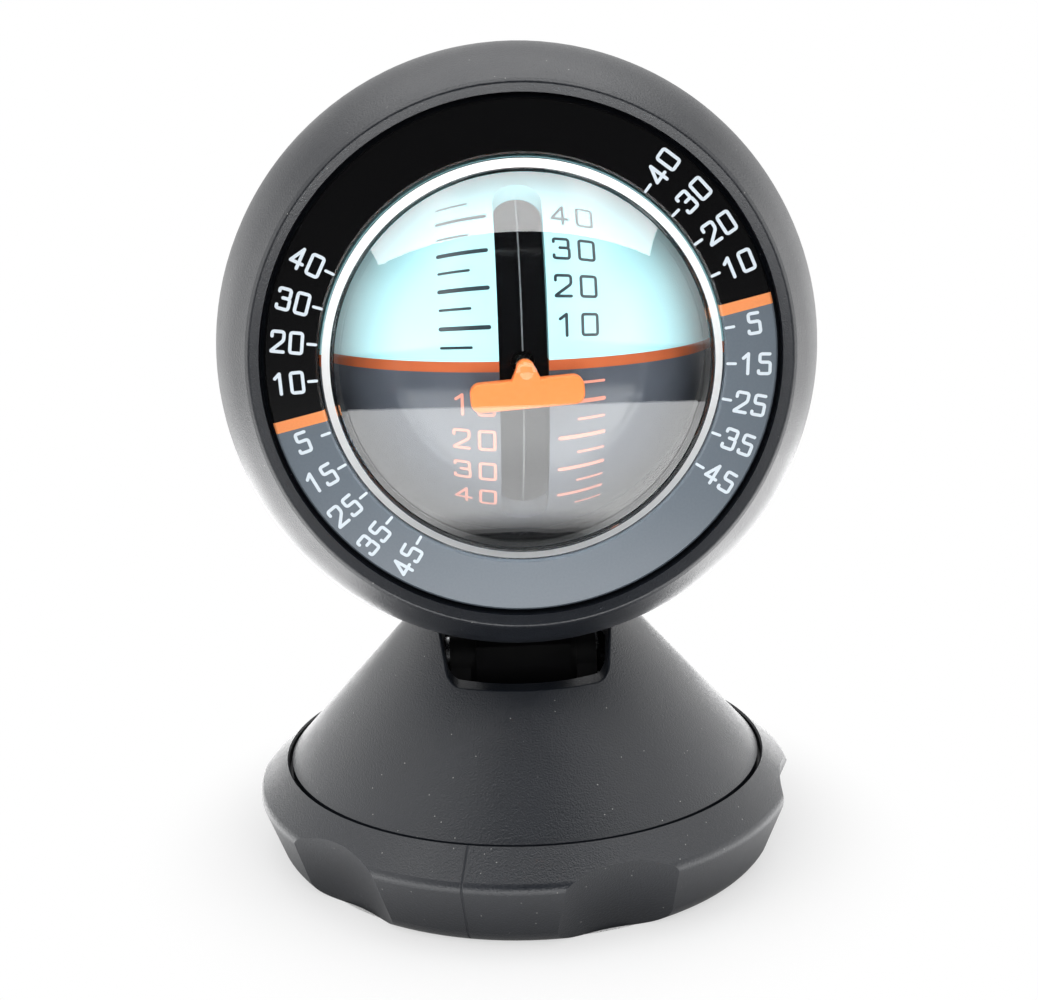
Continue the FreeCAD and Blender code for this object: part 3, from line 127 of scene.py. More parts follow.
for name, nodes in (("spark_eroded_abs", ("cone_shell", "rear_shell")),
                    ("spark_eroded_abs_with_rolled_lip", ("bezel",)),
                    ("spark_eroded_abs_with_parting_line", ("grip_ring",))):
    case_abs, tree = new_material(name)
    place = add(tree, "TexCoord").outputs["Object"]
    grain = add(tree, "TexNoise", {"Vector": place, "Scale": 1 / (GRAIN_WIDTH * MM), "Detail": 2.0,
                                   "Roughness": 0.6})
    mottle = add(tree, "TexNoise", {"Vector": place, "Scale": 1 / (MOTTLE_WIDTH * MM), "Detail": 3.0})
    shine = add(tree, "MapRange", {**NOISE_SPAN, "Value": mottle.outputs["Fac"], "To Min": CASE_SATIN[0],
                                   "To Max": CASE_SATIN[1]})
    dust = add(tree, "TexVoronoi", {"Vector": place, "Scale": 1 / (DUST_SPACING * MM)})
    speck = add(tree, "Math", {0: dust.outputs["Distance"], 1: DUST_RADIUS}, operation="LESS_THAN")
    lot = add(tree, "SeparateColor", {"Color": dust.outputs["Color"]})
    chosen = add(tree, "Math", {0: lot.outputs["Red"], 1: DUST_SHARE}, operation="LESS_THAN")
    dusty = add(tree, "Math", {0: speck.outputs["Value"], 1: chosen.outputs["Value"]},
                operation="MULTIPLY")
    black = add(tree, "MixRGB", {"Fac": mottle.outputs["Fac"], "Color1": linear("101318"),
                                 "Color2": linear("16191f")})
    colour = add(tree, "MixRGB", {"Fac": dusty.outputs["Value"], "Color1": black.outputs["Color"],
                                  "Color2": linear("7d7d7b")})
    radius = from_axis(tree, place)
    # At the back of the head the faces of the rear shell meet in one point, which has no smooth normal.
    at_pole = add(tree, "Math", {0: radius, 1: POLE_RADIUS * MM}, operation="LESS_THAN")
    face = add(tree, "NewGeometry")
    outward = add(tree, "MixRGB", {"Fac": at_pole.outputs["Value"], "Color1": face.outputs["Normal"],
                                   "Color2": face.outputs["True Normal"]})
    relief = add(tree, "Bump", {"Height": grain.outputs["Fac"], "Strength": 1.0,
                                "Distance": GRAIN_DEPTH * MM,
                                "Normal": outward.outputs["Color"]})
    if "bezel" in nodes:
        # The lip rises as the square of the distance inward from where the roll ends.
        inward = add(tree, "Math", {0: LIP_END * MM, 1: radius}, operation="SUBTRACT", use_clamp=True)
        square = add(tree, "Math", {0: inward.outputs["Value"], 1: inward.outputs["Value"]},
                     operation="MULTIPLY")
        rolled = add(tree, "Math", {0: square.outputs["Value"], 1: LIP_CURVE}, operation="MULTIPLY")
        relief = add(tree, "Bump", {"Height": rolled.outputs["Value"], "Strength": 1.0, "Distance": 1.0,
                                    "Normal": relief.outputs["Normal"]})
    if "grip_ring" in nodes:
        # The two halves of the mould met in a shallow step across the ring, left of the front.
        across_line = add(tree, "Mapping", {"Vector": place, "Rotation": (0, 0, PARTING_TURN)},
                          vector_type="TEXTURE")
        line = add(tree, "SeparateXYZ", {"Vector": across_line.outputs["Vector"]})
        off = add(tree, "Math", {0: line.outputs["Y"]}, operation="ABSOLUTE")
        seam = add(tree, "MapRange", {"Value": off.outputs["Value"], "From Min": PARTING_HALF[0] * MM,
                                      "From Max": PARTING_HALF[1] * MM, "To Min": 1.0, "To Max": 0.0})
        on_front = add(tree, "Math", {0: line.outputs["X"], 1: 0.0}, operation="GREATER_THAN")
        parting = add(tree, "Math", {0: seam.outputs["Result"], 1: on_front.outputs["Value"]},
                      operation="MULTIPLY")
        relief = add(tree, "Bump", {"Height": parting.outputs["Value"], "Strength": 1.0,
                                    "Distance": -PARTING_DEPTH * MM, "Normal": relief.outputs["Normal"]})
        shine = add(tree, "MapRange", {"Value": parting.outputs["Value"],
                                       "To Min": shine.outputs["Result"], "To Max": 0.8})
    shader = add(tree, "BsdfPrincipled", {"Base Color": colour.outputs["Color"],
                                          "Roughness": shine.outputs["Result"],
                                          "Normal": relief.outputs["Normal"]})
    add(tree, "OutputMaterial", {"Surface": shader.outputs["BSDF"]})
    dress(case_abs, *nodes)


# ---- Inner mouldings: base plate, turntable, neck arm and ball mask ------------------------------
# The same black ABS from a plain stoned mould: it has no grain, so it looks even, duller and darker
# than the case, with faint flow marks.
FLOW_WIDTH = 4
INNER_DULL = (0.50, 0.58)

inner_abs, tree = new_material("satin_abs")
place = add(tree, "TexCoord").outputs["Object"]
flow = add(tree, "TexNoise", {"Vector": place, "Scale": 1 / (FLOW_WIDTH * MM), "Detail": 3.0,
                              "Distortion": 0.6})
shine = add(tree, "MapRange", {**NOISE_SPAN, "Value": flow.outputs["Fac"], "To Min": INNER_DULL[0],
                               "To Max": INNER_DULL[1]})
black = add(tree, "MixRGB", {"Fac": flow.outputs["Fac"], "Color1": linear("0c0c0d"),
                             "Color2": linear("121214")})
relief = add(tree, "Bump", {"Height": flow.outputs["Fac"], "Strength": 0.2, "Distance": 0.02 * MM})
shader = add(tree, "BsdfPrincipled", {"Base Color": black.outputs["Color"],
                                      "Roughness": shine.outputs["Result"],
                                      "Normal": relief.outputs["Normal"]})
add(tree, "OutputMaterial", {"Surface": shader.outputs["BSDF"]})
dress(inner_abs, "base_plate", "turntable", "neck_arm", "ball_mask")


# ---- Pad under the base, lens seal and friction ring ---------------------------------------------
# Solid black rubber: the pad is die-cut from calendered sheet and has its fine cloth-like print,
# the two rings are moulded; all are dull with a slight bloom.
CLOTH_PRINT = 0.35
BLOOM_WIDTH = 12

rubber, tree = new_material("black_rubber")
place = add(tree, "TexCoord").outputs["Object"]
print_grain = add(tree, "TexNoise", {"Vector": place, "Scale": 1 / (CLOTH_PRINT * MM), "Detail": 3.0})
bloom = add(tree, "TexNoise", {"Vector": place, "Scale": 1 / (BLOOM_WIDTH * MM), "Detail": 4.0})
grey = add(tree, "MixRGB", {"Fac": bloom.outputs["Fac"], "Color1": linear("161616"),
                            "Color2": linear("2a2a29")})
relief = add(tree, "Bump", {"Height": print_grain.outputs["Fac"], "Strength": 0.4, "Distance": 0.05 * MM})
shader = add(tree, "BsdfPrincipled", {"Base Color": grey.outputs["Color"], "Roughness": 0.75,
                                      "Normal": relief.outputs["Normal"]})
add(tree, "OutputMaterial", {"Surface": shader.outputs["BSDF"]})
dress(rubber, "adhesive_pad", "lens_seal", "bezel_friction_ring")


# ---- Screws, hinge bolt and nut, spring, washer, stem, clips and trunnion pins --------------------
# Bright zinc-plated or plain ground steel; turning leaves fine rings and handling a little haze.
HAZE_WIDTH = 1.2
STEEL_SHINE = (0.18, 0.32)

steel, tree = new_material("plated_steel")
place = add(tree, "TexCoord").outputs["Object"]
haze = add(tree, "TexNoise", {"Vector": place, "Scale": 1 / (HAZE_WIDTH * MM), "Detail": 4.0})
shine = add(tree, "MapRange", {**NOISE_SPAN, "Value": haze.outputs["Fac"], "To Min": STEEL_SHINE[0],
                               "To Max": STEEL_SHINE[1]})
metal = add(tree, "MixRGB", {"Fac": haze.outputs["Fac"], "Color1": linear("a9abad"),
                             "Color2": linear("c9cbcc")})
scratch = add(tree, "Bump", {"Height": haze.outputs["Fac"], "Strength": 0.15, "Distance": 0.01 * MM})
shader = add(tree, "BsdfPrincipled", {"Base Color": metal.outputs["Color"], "Metallic": 1.0,
                                      "Roughness": shine.outputs["Result"],
                                      "Normal": scratch.outputs["Normal"]})
add(tree, "OutputMaterial", {"Surface": shader.outputs["BSDF"]})
dress(steel, "base_screws", "cone_screws", "swivel_screw", "swivel_washer", "swivel_spring", "hinge_bolt",
      "hinge_nut", "neck_screws", "mask_screws", "stem", "stem_clips", "trunnion_pins",
      "counterweight_screws")


# ---- Counterweights ------------------------------------------------------------------------------
# Two short slugs parted off brass bar, with turning marks round their axis along X.
TURNING_WIDTH = 6
TARNISH_WIDTH = 3

brass, tree = new_material("turned_brass")
place = add(tree, "TexCoord").outputs["Object"]
turning = add(tree, "TexWave", {"Vector": place, "Scale": 1 / (TURNING_WIDTH * MM), "Distortion": 1.0,
                                "Detail": 1.0},
              wave_type="BANDS", bands_direction="X")
tarnish = add(tree, "TexNoise", {"Vector": place, "Scale": 1 / (TARNISH_WIDTH * MM), "Detail": 4.0})
metal = add(tree, "MixRGB", {"Fac": tarnish.outputs["Fac"], "Color1": linear("b08d4a"),
                             "Color2": linear("d9b96c")})
relief = add(tree, "Bump", {"Height": turning.outputs["Fac"], "Strength": 0.2, "Distance": 0.02 * MM})
shader = add(tree, "BsdfPrincipled", {"Base Color": metal.outputs["Color"], "Metallic": 1.0,
                                      "Roughness": 0.28, "Normal": relief.outputs["Normal"]})
add(tree, "OutputMaterial", {"Surface": shader.outputs["BSDF"]})
dress(brass, "counterweights")


# ---- Acetal bearings: glide ring, friction washers, gimbal hub and bushes -------------------------
# Acetal, machined or moulded: waxy, and letting a little light in where it is left its natural
# off-white; the washers of the hinge are coloured black, because they show in the notch.
WAX_CLOUD = 2.5

for name, low, high, depth, nodes in (
        ("natural_acetal", "d6d4cb", "e6e4dc", 0.15,
         ("swivel_glide_ring", "gimbal_hub", "trunnion_bushes")),
        ("black_acetal", "0a0a0b", "131314", 0.0, ("hinge_friction_washers",))):
    acetal, tree = new_material(name)
    place = add(tree, "TexCoord").outputs["Object"]
    cloud = add(tree, "TexNoise", {"Vector": place, "Scale": 1 / (WAX_CLOUD * MM), "Detail": 3.0})
    wax = add(tree, "MixRGB", {"Fac": cloud.outputs["Fac"], "Color1": linear(low),
                               "Color2": linear(high)})
    shader = add(tree, "BsdfPrincipled", {"Base Color": wax.outputs["Color"], "Roughness": 0.42,
                                          "Subsurface Weight": depth, "Subsurface Scale": 1 * MM})
    add(tree, "OutputMaterial", {"Surface": shader.outputs["BSDF"]})
    dress(acetal, *nodes)


# ---- Scale ring ----------------------------------------------------------------------------------
# A flat moulded ring, screen printed: black above the zero line, blue-grey below it, an orange bar
# on the line at each side and pale numbers for the roll to left and right.
RING_FRONT = -24.0
PRINT_TURN = radians(13.0)
ZERO_HALF = 0.72
INK_GRAIN = 0.3
GLOSSY_INK = 0.22

ring_print, tree = new_material("screen_printed_ring")
place = add(tree, "TexCoord").outputs["Object"]
dial = add(tree, "Mapping", {"Vector": place, "Location": (0, 0, AXIS_HEIGHT * MM),
                             "Rotation": (0, -PRINT_TURN, 0)}, vector_type="TEXTURE")
height = add(tree, "SeparateXYZ", {"Vector": dial.outputs["Vector"]}).outputs["Z"]
distance = add(tree, "Math", {0: height}, operation="ABSOLUTE")
is_upper = add(tree, "Math", {0: height, 1: 0.0}, operation="GREATER_THAN")
is_bar = add(tree, "Math", {0: distance.outputs["Value"], 1: ZERO_HALF * MM}, operation="LESS_THAN")
ink = add(tree, "TexNoise", {"Vector": place, "Scale": 1 / (INK_GRAIN * MM), "Detail": 2.0})
lower = add(tree, "MixRGB", {"Fac": ink.outputs["Fac"], "Color1": linear("636c75"),
                             "Color2": linear("6b747d")})
upper = add(tree, "MixRGB", {"Fac": ink.outputs["Fac"], "Color1": linear("060607"),
                             "Color2": linear("0a0a0b")})
orange = add(tree, "MixRGB", {"Fac": ink.outputs["Fac"], "Color1": linear("ea8f56"),
                              "Color2": linear("f49b64")})
halves = add(tree, "MixRGB", {"Fac": is_upper.outputs["Value"], "Color1": lower.outputs["Color"],
                              "Color2": upper.outputs["Color"]})
colour = add(tree, "MixRGB", {"Fac": is_bar.outputs["Value"], "Color1": halves.outputs["Color"],
                              "Color2": orange.outputs["Color"]})
relief = add(tree, "Bump", {"Height": ink.outputs["Fac"], "Strength": 0.1, "Distance": 0.01 * MM})
shader = add(tree, "BsdfPrincipled", {"Base Color": colour.outputs["Color"], "Roughness": GLOSSY_INK,
                                      "Normal": relief.outputs["Normal"]})
add(tree, "OutputMaterial", {"Surface": shader.outputs["BSDF"]})
dress(ring_print, "scale_ring")


# ---- Numbers and ticks of the scale ring ----------------------------------------------------------
# White ink in plain squared figures with rounded corners, printed so that each number reads
# outward along its own tick on the right and inward on the left.
LINE_STEP = 0.3
FILM_LEVELS = 5
FILM_RISE = 0.15


def rounded(points, closed, radius):
    """A line through the points in steps of at most LINE_STEP, with each corner replaced by a quadratic
    curve that leaves and meets the sides a radius away: (1-t)^2 a + 2t(1-t) corner + t^2 b."""
    corner = np.array(points, float)
    before = np.roll(corner, 1, 0) - corner
    after = np.roll(corner, -1, 0) - corner
    reach_before = np.minimum(radius, np.linalg.norm(before, axis=1) / 2)[:, None]
    reach_after = np.minimum(radius, np.linalg.norm(after, axis=1) / 2)[:, None]
    if not closed:
        reach_before[[0, -1]] = reach_after[[0, -1]] = 0
    unit_before = before / np.linalg.norm(before, axis=1)[:, None]
    unit_after = after / np.linalg.norm(after, axis=1)[:, None]
    t = np.linspace(0, 1, 7)[None, :, None]
    curve = ((1 - t) ** 2 * (corner + unit_before * reach_before)[:, None]
             + 2 * t * (1 - t) * corner[:, None] + t ** 2 * (corner + unit_after * reach_after)[:, None])
    line = curve.reshape(-1, 2)
    if closed:
        line = np.vstack([line, line[:1]])
    line = line[np.append(True, np.linalg.norm(np.diff(line, axis=0), axis=1) > 1e-6)]
    run = np.append(0, np.cumsum(np.linalg.norm(np.diff(line, axis=0), axis=1)))
    even = np.arange(0, run[-1], LINE_STEP)
    stations = np.unique(np.round(np.concatenate([run, even]), 5))
    stations = stations[np.append(True, np.diff(stations) > 0.02)]
    stations[-1] = run[-1]
    return np.stack([np.interp(stations, run, line[:, k]) for k in (0, 1)], 1)


def strokes(name, lines, wrap, film):
    """A flat-topped band with round ends carried along each line (points, closed, width): its section at a
    point is the four corners (-w/2, -h), (w/2, -h), (w/2, h), (-w/2, h) across the line, and past each end
    w falls as the square root of 1 - t^2. Bands take FILM_LEVELS heights h in turn, so that no two tops of
    a figure lie in one plane, and wrap(u, v, h) sets the corners in place."""
    places, faces, start = [], [], 0
    for index, (line, closed, width) in enumerate(lines):
        high = film * (1 + FILM_RISE * (index % FILM_LEVELS))
        along = np.gradient(line, axis=0)
        if closed:
            along[0] = along[-1] = line[1] - line[-2]
        along /= np.linalg.norm(along, axis=1)[:, None]
        half = np.full(len(line), width / 2)
        if not closed:
            t = np.array([0.35, 0.66, 0.87, 0.985])
            before = line[0] - along[0] * t[::-1, None] * width / 2
            after = line[-1] + along[-1] * t[:, None] * width / 2
            fall = np.sqrt(1 - t ** 2) * width / 2
            line = np.vstack([before, line, after])
            along = np.vstack([np.repeat(along[:1], 4, 0), along, np.repeat(along[-1:], 4, 0)])
            half = np.concatenate([fall[::-1], half, fall])
        side = np.stack([-along[:, 1], along[:, 0]], 1) * half[:, None]
        left, right = line + side, line - side
        rows = np.stack([np.column_stack([right, np.full(len(line), -high)]),
                         np.column_stack([right, np.full(len(line), high)]),
                         np.column_stack([left, np.full(len(line), high)]),
                         np.column_stack([left, np.full(len(line), -high)])], 1)
        if closed:
            rows = rows[:-1]
        n = len(rows)
        here = np.arange(n if closed else n - 1)[:, None]
        k = np.arange(4)[None, :]
        after = (here + 1) % n
        quad = np.stack([here * 4 + k, after * 4 + k, after * 4 + (k + 1) % 4, here * 4 + (k + 1) % 4], -1)
        faces += (quad.reshape(-1, 4) + start).tolist()
        if not closed:
            faces += [[start, start + 1, start + 2, start + 3],
                      [start + 4 * n - 1, start + 4 * n - 2, start + 4 * n - 3, start + 4 * n - 4]]
        places.append(rows.reshape(-1, 3))
        start += 4 * n
    flat = np.vstack(places)
    mesh = bpy.data.meshes.new(name)
    mesh.from_pydata((wrap(*flat.T) * MM).tolist(), [], faces)
    mesh.update()
    piece = bpy.data.objects.new(name, mesh)
    bpy.context.scene.collection.objects.link(piece)
    return piece


FIGURES = {
    "0": [([(0, 0), (1, 0), (1, 1), (0, 1)], True)],
    "1": [([(0.62, 1), (0.62, 0)], False), ([(0.62, 1), (0.2, 0.78)], False)],
    "2": [([(0, 0.76), (0, 1), (1, 1), (1, 0.58), (0, 0.04)], False), ([(0, 0), (1, 0)], False)],
    "3": [([(0, 0.84), (0, 1), (0.96, 1), (0.96, 0.54), (0.4, 0.54)], False),
          ([(0.4, 0.54), (1, 0.54), (1, 0), (0, 0), (0, 0.16)], False)],
    "4": [([(0.72, 0), (0.72, 1)], False), ([(0.72, 1), (0, 0.28)], False),
          ([(0, 0.28), (1.04, 0.28)], False)],
    "5": [([(0.92, 1), (0.08, 1), (0.08, 0.58), (1, 0.58), (1, 0), (0, 0), (0, 0.14)], False)],
}
FIGURE_CORNER = 0.34


def written(text, size, gap, stroke, centre, turn):
    """Centre lines of a number: each figure's unit box is scaled to size, less the stroke, the figures are
    set side by side round the origin, and all is turned and moved to the centre."""
    width, height = size
    whole = len(text) * width + (len(text) - 1) * gap
    spin = np.array([[cos(turn), -sin(turn)], [sin(turn), cos(turn)]])
    lines = []
    for place, figure in enumerate(text):
        for points, closed in FIGURES[figure]:
            box = np.array(points) * (width - stroke, height - stroke) + stroke / 2
            box += (place * (width + gap) - whole / 2, -height / 2)
            lines.append((rounded(box, closed, FIGURE_CORNER) @ spin.T + centre, closed, stroke))
    return lines


RING_FIGURE = (1.9, 2.95)
RING_STROKE = 0.42
RING_TICK = (26.15, 27.15)
RING_TICK_WIDTH = 0.36
RING_NUMBER_RADIUS = 29.75
FIGURE_GAP = 0.4
INK_FILM = 0.02
WHITE_GRAIN = 0.25
ring_lines = []
for side in (0, 1):
    for value in (10, 20, 30, 40, -5, -15, -25, -35, -45):
        angle = PRINT_TURN + radians(value) if side == 0 else PRINT_TURN + radians(180 - value)
        ray = np.array([cos(angle), sin(angle)])
        tick = np.linspace(ray * RING_TICK[0], ray * RING_TICK[1], 2)
        ring_lines.append((tick, False, RING_TICK_WIDTH))
        turn = angle if side == 0 else angle - radians(180)
        ring_lines += written(str(abs(value)), RING_FIGURE, FIGURE_GAP, RING_STROKE,
                              ray * RING_NUMBER_RADIUS, turn)


def on_ring(u, v, h):
    """x = u, y = the ring's front less h, z = the dial's axis plus v."""
    return np.stack([u, RING_FRONT - h, AXIS_HEIGHT + v], 1)


white_ink, tree = new_material("white_screen_ink")
place = add(tree, "TexCoord").outputs["Object"]
ink = add(tree, "TexNoise", {"Vector": place, "Scale": 1 / (WHITE_GRAIN * MM), "Detail": 2.0})
colour = add(tree, "MixRGB", {"Fac": ink.outputs["Fac"], "Color1": linear("cfdae2"),
                              "Color2": linear("dde6ed")})
shader = add(tree, "BsdfPrincipled", {"Base Color": colour.outputs["Color"], "Roughness": 0.45})
add(tree, "OutputMaterial", {"Surface": shader.outputs["BSDF"]})

ring_numbers = strokes("ring_numbers", ring_lines, on_ring, INK_FILM)
ring_numbers.data.materials.append(white_ink)
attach(ring_numbers, "bezel_group")


# ---- Lens ------------------------------------------------------------------------------------------
# One clear acrylic moulding, polished on both faces: a shallow dome whose turned bevel is left
# finely matt and only half clear, so that its white base colour shows as a painted highlight ring.
BEVEL_RADIUS = 24.8
BEVEL_WIDTH = 1.1
BEVEL_FRONT = -24.45
BEVEL_MATT = 0.35
PAINTED_RIM_CLARITY = 0.5
WIPE_WIDTH = 6

acrylic, tree = new_material("clear_acrylic")
place = add(tree, "TexCoord").outputs["Object"]
depth = add(tree, "SeparateXYZ", {"Vector": place}).outputs["Y"]
off_middle = add(tree, "Math", {0: from_axis(tree, place), 1: BEVEL_RADIUS * MM}, operation="SUBTRACT")
from_middle = add(tree, "Math", {0: off_middle.outputs["Value"]}, operation="ABSOLUTE")
in_band = add(tree, "Math", {0: from_middle.outputs["Value"], 1: BEVEL_WIDTH / 2 * MM},
              operation="LESS_THAN")
ahead = add(tree, "Math", {0: depth, 1: BEVEL_FRONT * MM}, operation="LESS_THAN")
bevel = add(tree, "Math", {0: in_band.outputs["Value"], 1: ahead.outputs["Value"]}, operation="MULTIPLY")
matt = add(tree, "MapRange", {"Value": bevel.outputs["Value"], "To Min": 0.0, "To Max": BEVEL_MATT})
# Painted highlight: on the bevel, half the light takes the white base colour instead of passing through.
through = add(tree, "MapRange", {"Value": bevel.outputs["Value"], "To Min": 1.0, "To Max": PAINTED_RIM_CLARITY})
wiping = add(tree, "TexNoise", {"Vector": place, "Scale": 1 / (WIPE_WIDTH * MM), "Detail": 5.0,
                                "Distortion": 1.5})
tint = add(tree, "MixRGB", {"Fac": wiping.outputs["Fac"], "Color1": linear("fafdfe"),
                            "Color2": linear("feffff")})
shader = add(tree, "BsdfPrincipled", {"Base Color": tint.outputs["Color"],
                                      "Roughness": matt.outputs["Result"],
                                      "IOR": 1.49, "Transmission Weight": through.outputs["Result"]})
clear = add(tree, "BsdfTransparent", {"Color": linear("fbfdfe")})
path = add(tree, "LightPath")
lens_shader = add(tree, "MixShader", {0: path.outputs["Is Shadow Ray"], 1: shader.outputs["BSDF"],
                                      2: clear.outputs["BSDF"]})
add(tree, "OutputMaterial", {"Surface": lens_shader.outputs["Shader"]})
dress(acrylic, "lens_dome")


# ---- Marker ----------------------------------------------------------------------------------------
# The fixed aeroplane bar: orange ABS on the end of the stem, softly rounded, with a slight sheen.
SKIN_WIDTH = 0.5

marker_abs, tree = new_material("orange_abs")
place = add(tree, "TexCoord").outputs["Object"]
skin = add(tree, "TexNoise", {"Vector": place, "Scale": 1 / (SKIN_WIDTH * MM), "Detail": 2.0})
colour = add(tree, "MixRGB", {"Fac": skin.outputs["Fac"], "Color1": linear("fb7f3a"),
                              "Color2": linear("ff8c49")})
relief = add(tree, "Bump", {"Height": skin.outputs["Fac"], "Strength": 0.15, "Distance": 0.02 * MM})
shader = add(tree, "BsdfPrincipled", {"Base Color": colour.outputs["Color"], "Roughness": 0.36,
                                      "Normal": relief.outputs["Normal"]})
add(tree, "OutputMaterial", {"Surface": shader.outputs["BSDF"]})
dress(marker_abs, "pitch_marker")


# ---- Drum behind the slot --------------------------------------------------------------------------
# Two polished black polystyrene dishes with a coat against glare, so they mirror only faintly;
# where their rims meet behind the slot, a fine grey line is painted along the joint as a highlight.
RIPPLE_WIDTH = 3
DRUM_SHINE = (0.08, 0.14)
SEAM_HIGHLIGHT_HALF = (0.05, 0.13)
COAT_GLOSS = 0.2

gloss_black, tree = new_material("polished_black_polystyrene")
place = add(tree, "TexCoord").outputs["Object"]
ripple = add(tree, "TexNoise", {"Vector": place, "Scale": 1 / (RIPPLE_WIDTH * MM), "Detail": 2.0})
shine = add(tree, "MapRange", {**NOISE_SPAN, "Value": ripple.outputs["Fac"], "To Min": DRUM_SHINE[0],
                               "To Max": DRUM_SHINE[1]})
from_joint = add(tree, "SeparateXYZ", {"Vector": place})
off_joint = add(tree, "Math", {0: from_joint.outputs["X"]}, operation="ABSOLUTE")
# Painted highlight: the drum is lighter grey within a fraction of a millimetre of the joint.
painted_seam_highlight = add(tree, "MapRange", {"Value": off_joint.outputs["Value"], "From Min": SEAM_HIGHLIGHT_HALF[0] * MM,
                                "From Max": SEAM_HIGHLIGHT_HALF[1] * MM, "To Min": 1.0, "To Max": 0.0})
colour = add(tree, "MixRGB", {"Fac": painted_seam_highlight.outputs["Result"], "Color1": linear("0b0b0d"),
                              "Color2": linear("77797b")})
shader = add(tree, "BsdfPrincipled", {"Base Color": colour.outputs["Color"],
                                      "Roughness": shine.outputs["Result"],
                                      "Specular IOR Level": COAT_GLOSS})
add(tree, "OutputMaterial", {"Surface": shader.outputs["BSDF"]})
dress(gloss_black, "slot_drum")


# ---- Ball ------------------------------------------------------------------------------------------
# Two glossy polystyrene half shells, light blue above and dark grey below, on an orange band; the
# mould is polished, so they mirror softly.
CLOUD_WIDTH = 5
BALL_SHINE = (0.12, 0.18)

for name, low, high, nodes in (
        ("sky_blue_polystyrene", "b4eff5", "bdf4f9", ("ball_sky_shell",)),
        ("ground_grey_polystyrene", "4c5058", "565a63", ("ball_ground_shell",)),
        ("horizon_orange_polystyrene", "b85a34", "c7683f", ("horizon_band",))):
    plastic, tree = new_material(name)
    place = add(tree, "TexCoord").outputs["Object"]
    cloud = add(tree, "TexNoise", {"Vector": place, "Scale": 1 / (CLOUD_WIDTH * MM), "Detail": 3.0})
    colour = add(tree, "MixRGB", {"Fac": cloud.outputs["Fac"], "Color1": linear(low),
                                  "Color2": linear(high)})
    shine = add(tree, "MapRange", {**NOISE_SPAN, "Value": cloud.outputs["Fac"], "To Min": BALL_SHINE[0],
                                   "To Max": BALL_SHINE[1]})
    shader = add(tree, "BsdfPrincipled", {"Base Color": colour.outputs["Color"],
                                          "Roughness": shine.outputs["Result"]})
    add(tree, "OutputMaterial", {"Surface": shader.outputs["BSDF"]})
    dress(plastic, *nodes)


# ---- Pitch scales on the ball ------------------------------------------------------------------------
# Pad printed: dark ticks and numbers on the blue, salmon ones on the grey, a tick every five degrees
# and a number every ten.
BALL_RADIUS = 28.5
BALL_CENTRE = 2.0


def on_ball(u, v, h):
    """u is the arc from the slot's plane and v the arc from the horizon at radius R:
    x = r sin(u/R), y = centre - r cos(u/R) cos(v/R), z = axis + r cos(u/R) sin(v/R), with r = R + h."""
    r = BALL_RADIUS + h
    a, b = u / BALL_RADIUS, v / BALL_RADIUS
    return np.stack([r * np.sin(a), BALL_CENTRE - r * np.cos(a) * np.cos(b),
                     AXIS_HEIGHT + r * np.cos(a) * np.sin(b)], 1)


BALL_FIGURE = (2.35, 3.05)
BALL_STROKE = 0.38
BALL_FIGURE_GAP = 0.95
BALL_TICK_WIDTHS = (0.35, 0.55)
for name, side, number_middle, tick_far, tick_ends, low, high in (
        ("sky_scale", 1, 6.9, -10.4, (-6.5, -4.2), "1c2c33", "26363d"),
        ("ground_scale", -1, -6.5, 10.3, (6.9, 4.5), "df8a74", "e99a86")):
    lines = []
    for value in range(5, 50, 5):
        arc = side * radians(value) * BALL_RADIUS
        is_ten = value % 10 == 0
        tick = np.column_stack([np.linspace(tick_far, tick_ends[is_ten], 16), np.full(16, arc)])
        lines.append((tick, False, BALL_TICK_WIDTHS[is_ten]))
        if is_ten:
            lines += written(str(value), BALL_FIGURE, BALL_FIGURE_GAP, BALL_STROKE,
                             (number_middle, arc), 0.0)
    scale = strokes(name, lines, on_ball, INK_FILM)
    ball_ink, tree = new_material(name + "_ink")
    place = add(tree, "TexCoord").outputs["Object"]
    ink = add(tree, "TexNoise", {"Vector": place, "Scale": 1 / (INK_GRAIN * MM), "Detail": 2.0})
    colour = add(tree, "MixRGB", {"Fac": ink.outputs["Fac"], "Color1": linear(low),
                                  "Color2": linear(high)})
    shader = add(tree, "BsdfPrincipled", {"Base Color": colour.outputs["Color"], "Roughness": 0.3})
    add(tree, "OutputMaterial", {"Surface": shader.outputs["BSDF"]})
    scale.data.materials.append(ball_ink)
    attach(scale, "ball")


# ---- Studio ------------------------------------------------------------------------------------------
# A round white table inside a white tent, which is open to the dark room in front, where the camera
# stands; soft boxes overhead, in front and at both sides, and a strip above for the lens alone.
TABLE_RADIUS = 0.22
TABLE_SIDES = 96
PAINTED_TABLE_GLOW = (0.4, 4.2)
UNDER_BASE = {"From Min": 0.036, "From Max": 0.060}
SHADOW_SHARE = 0.55
turn = np.linspace(0, 2 * np.pi, TABLE_SIDES, endpoint=False)
table_rim = np.stack([TABLE_RADIUS * np.cos(turn), TABLE_RADIUS * np.sin(turn), 0 * turn], 1)
table_mesh = bpy.data.meshes.new("white_table")
table_mesh.from_pydata(table_rim.tolist(), [], [tuple(range(TABLE_SIDES))])
table = bpy.data.objects.new("white_table", table_mesh)
bpy.context.scene.collection.objects.link(table)
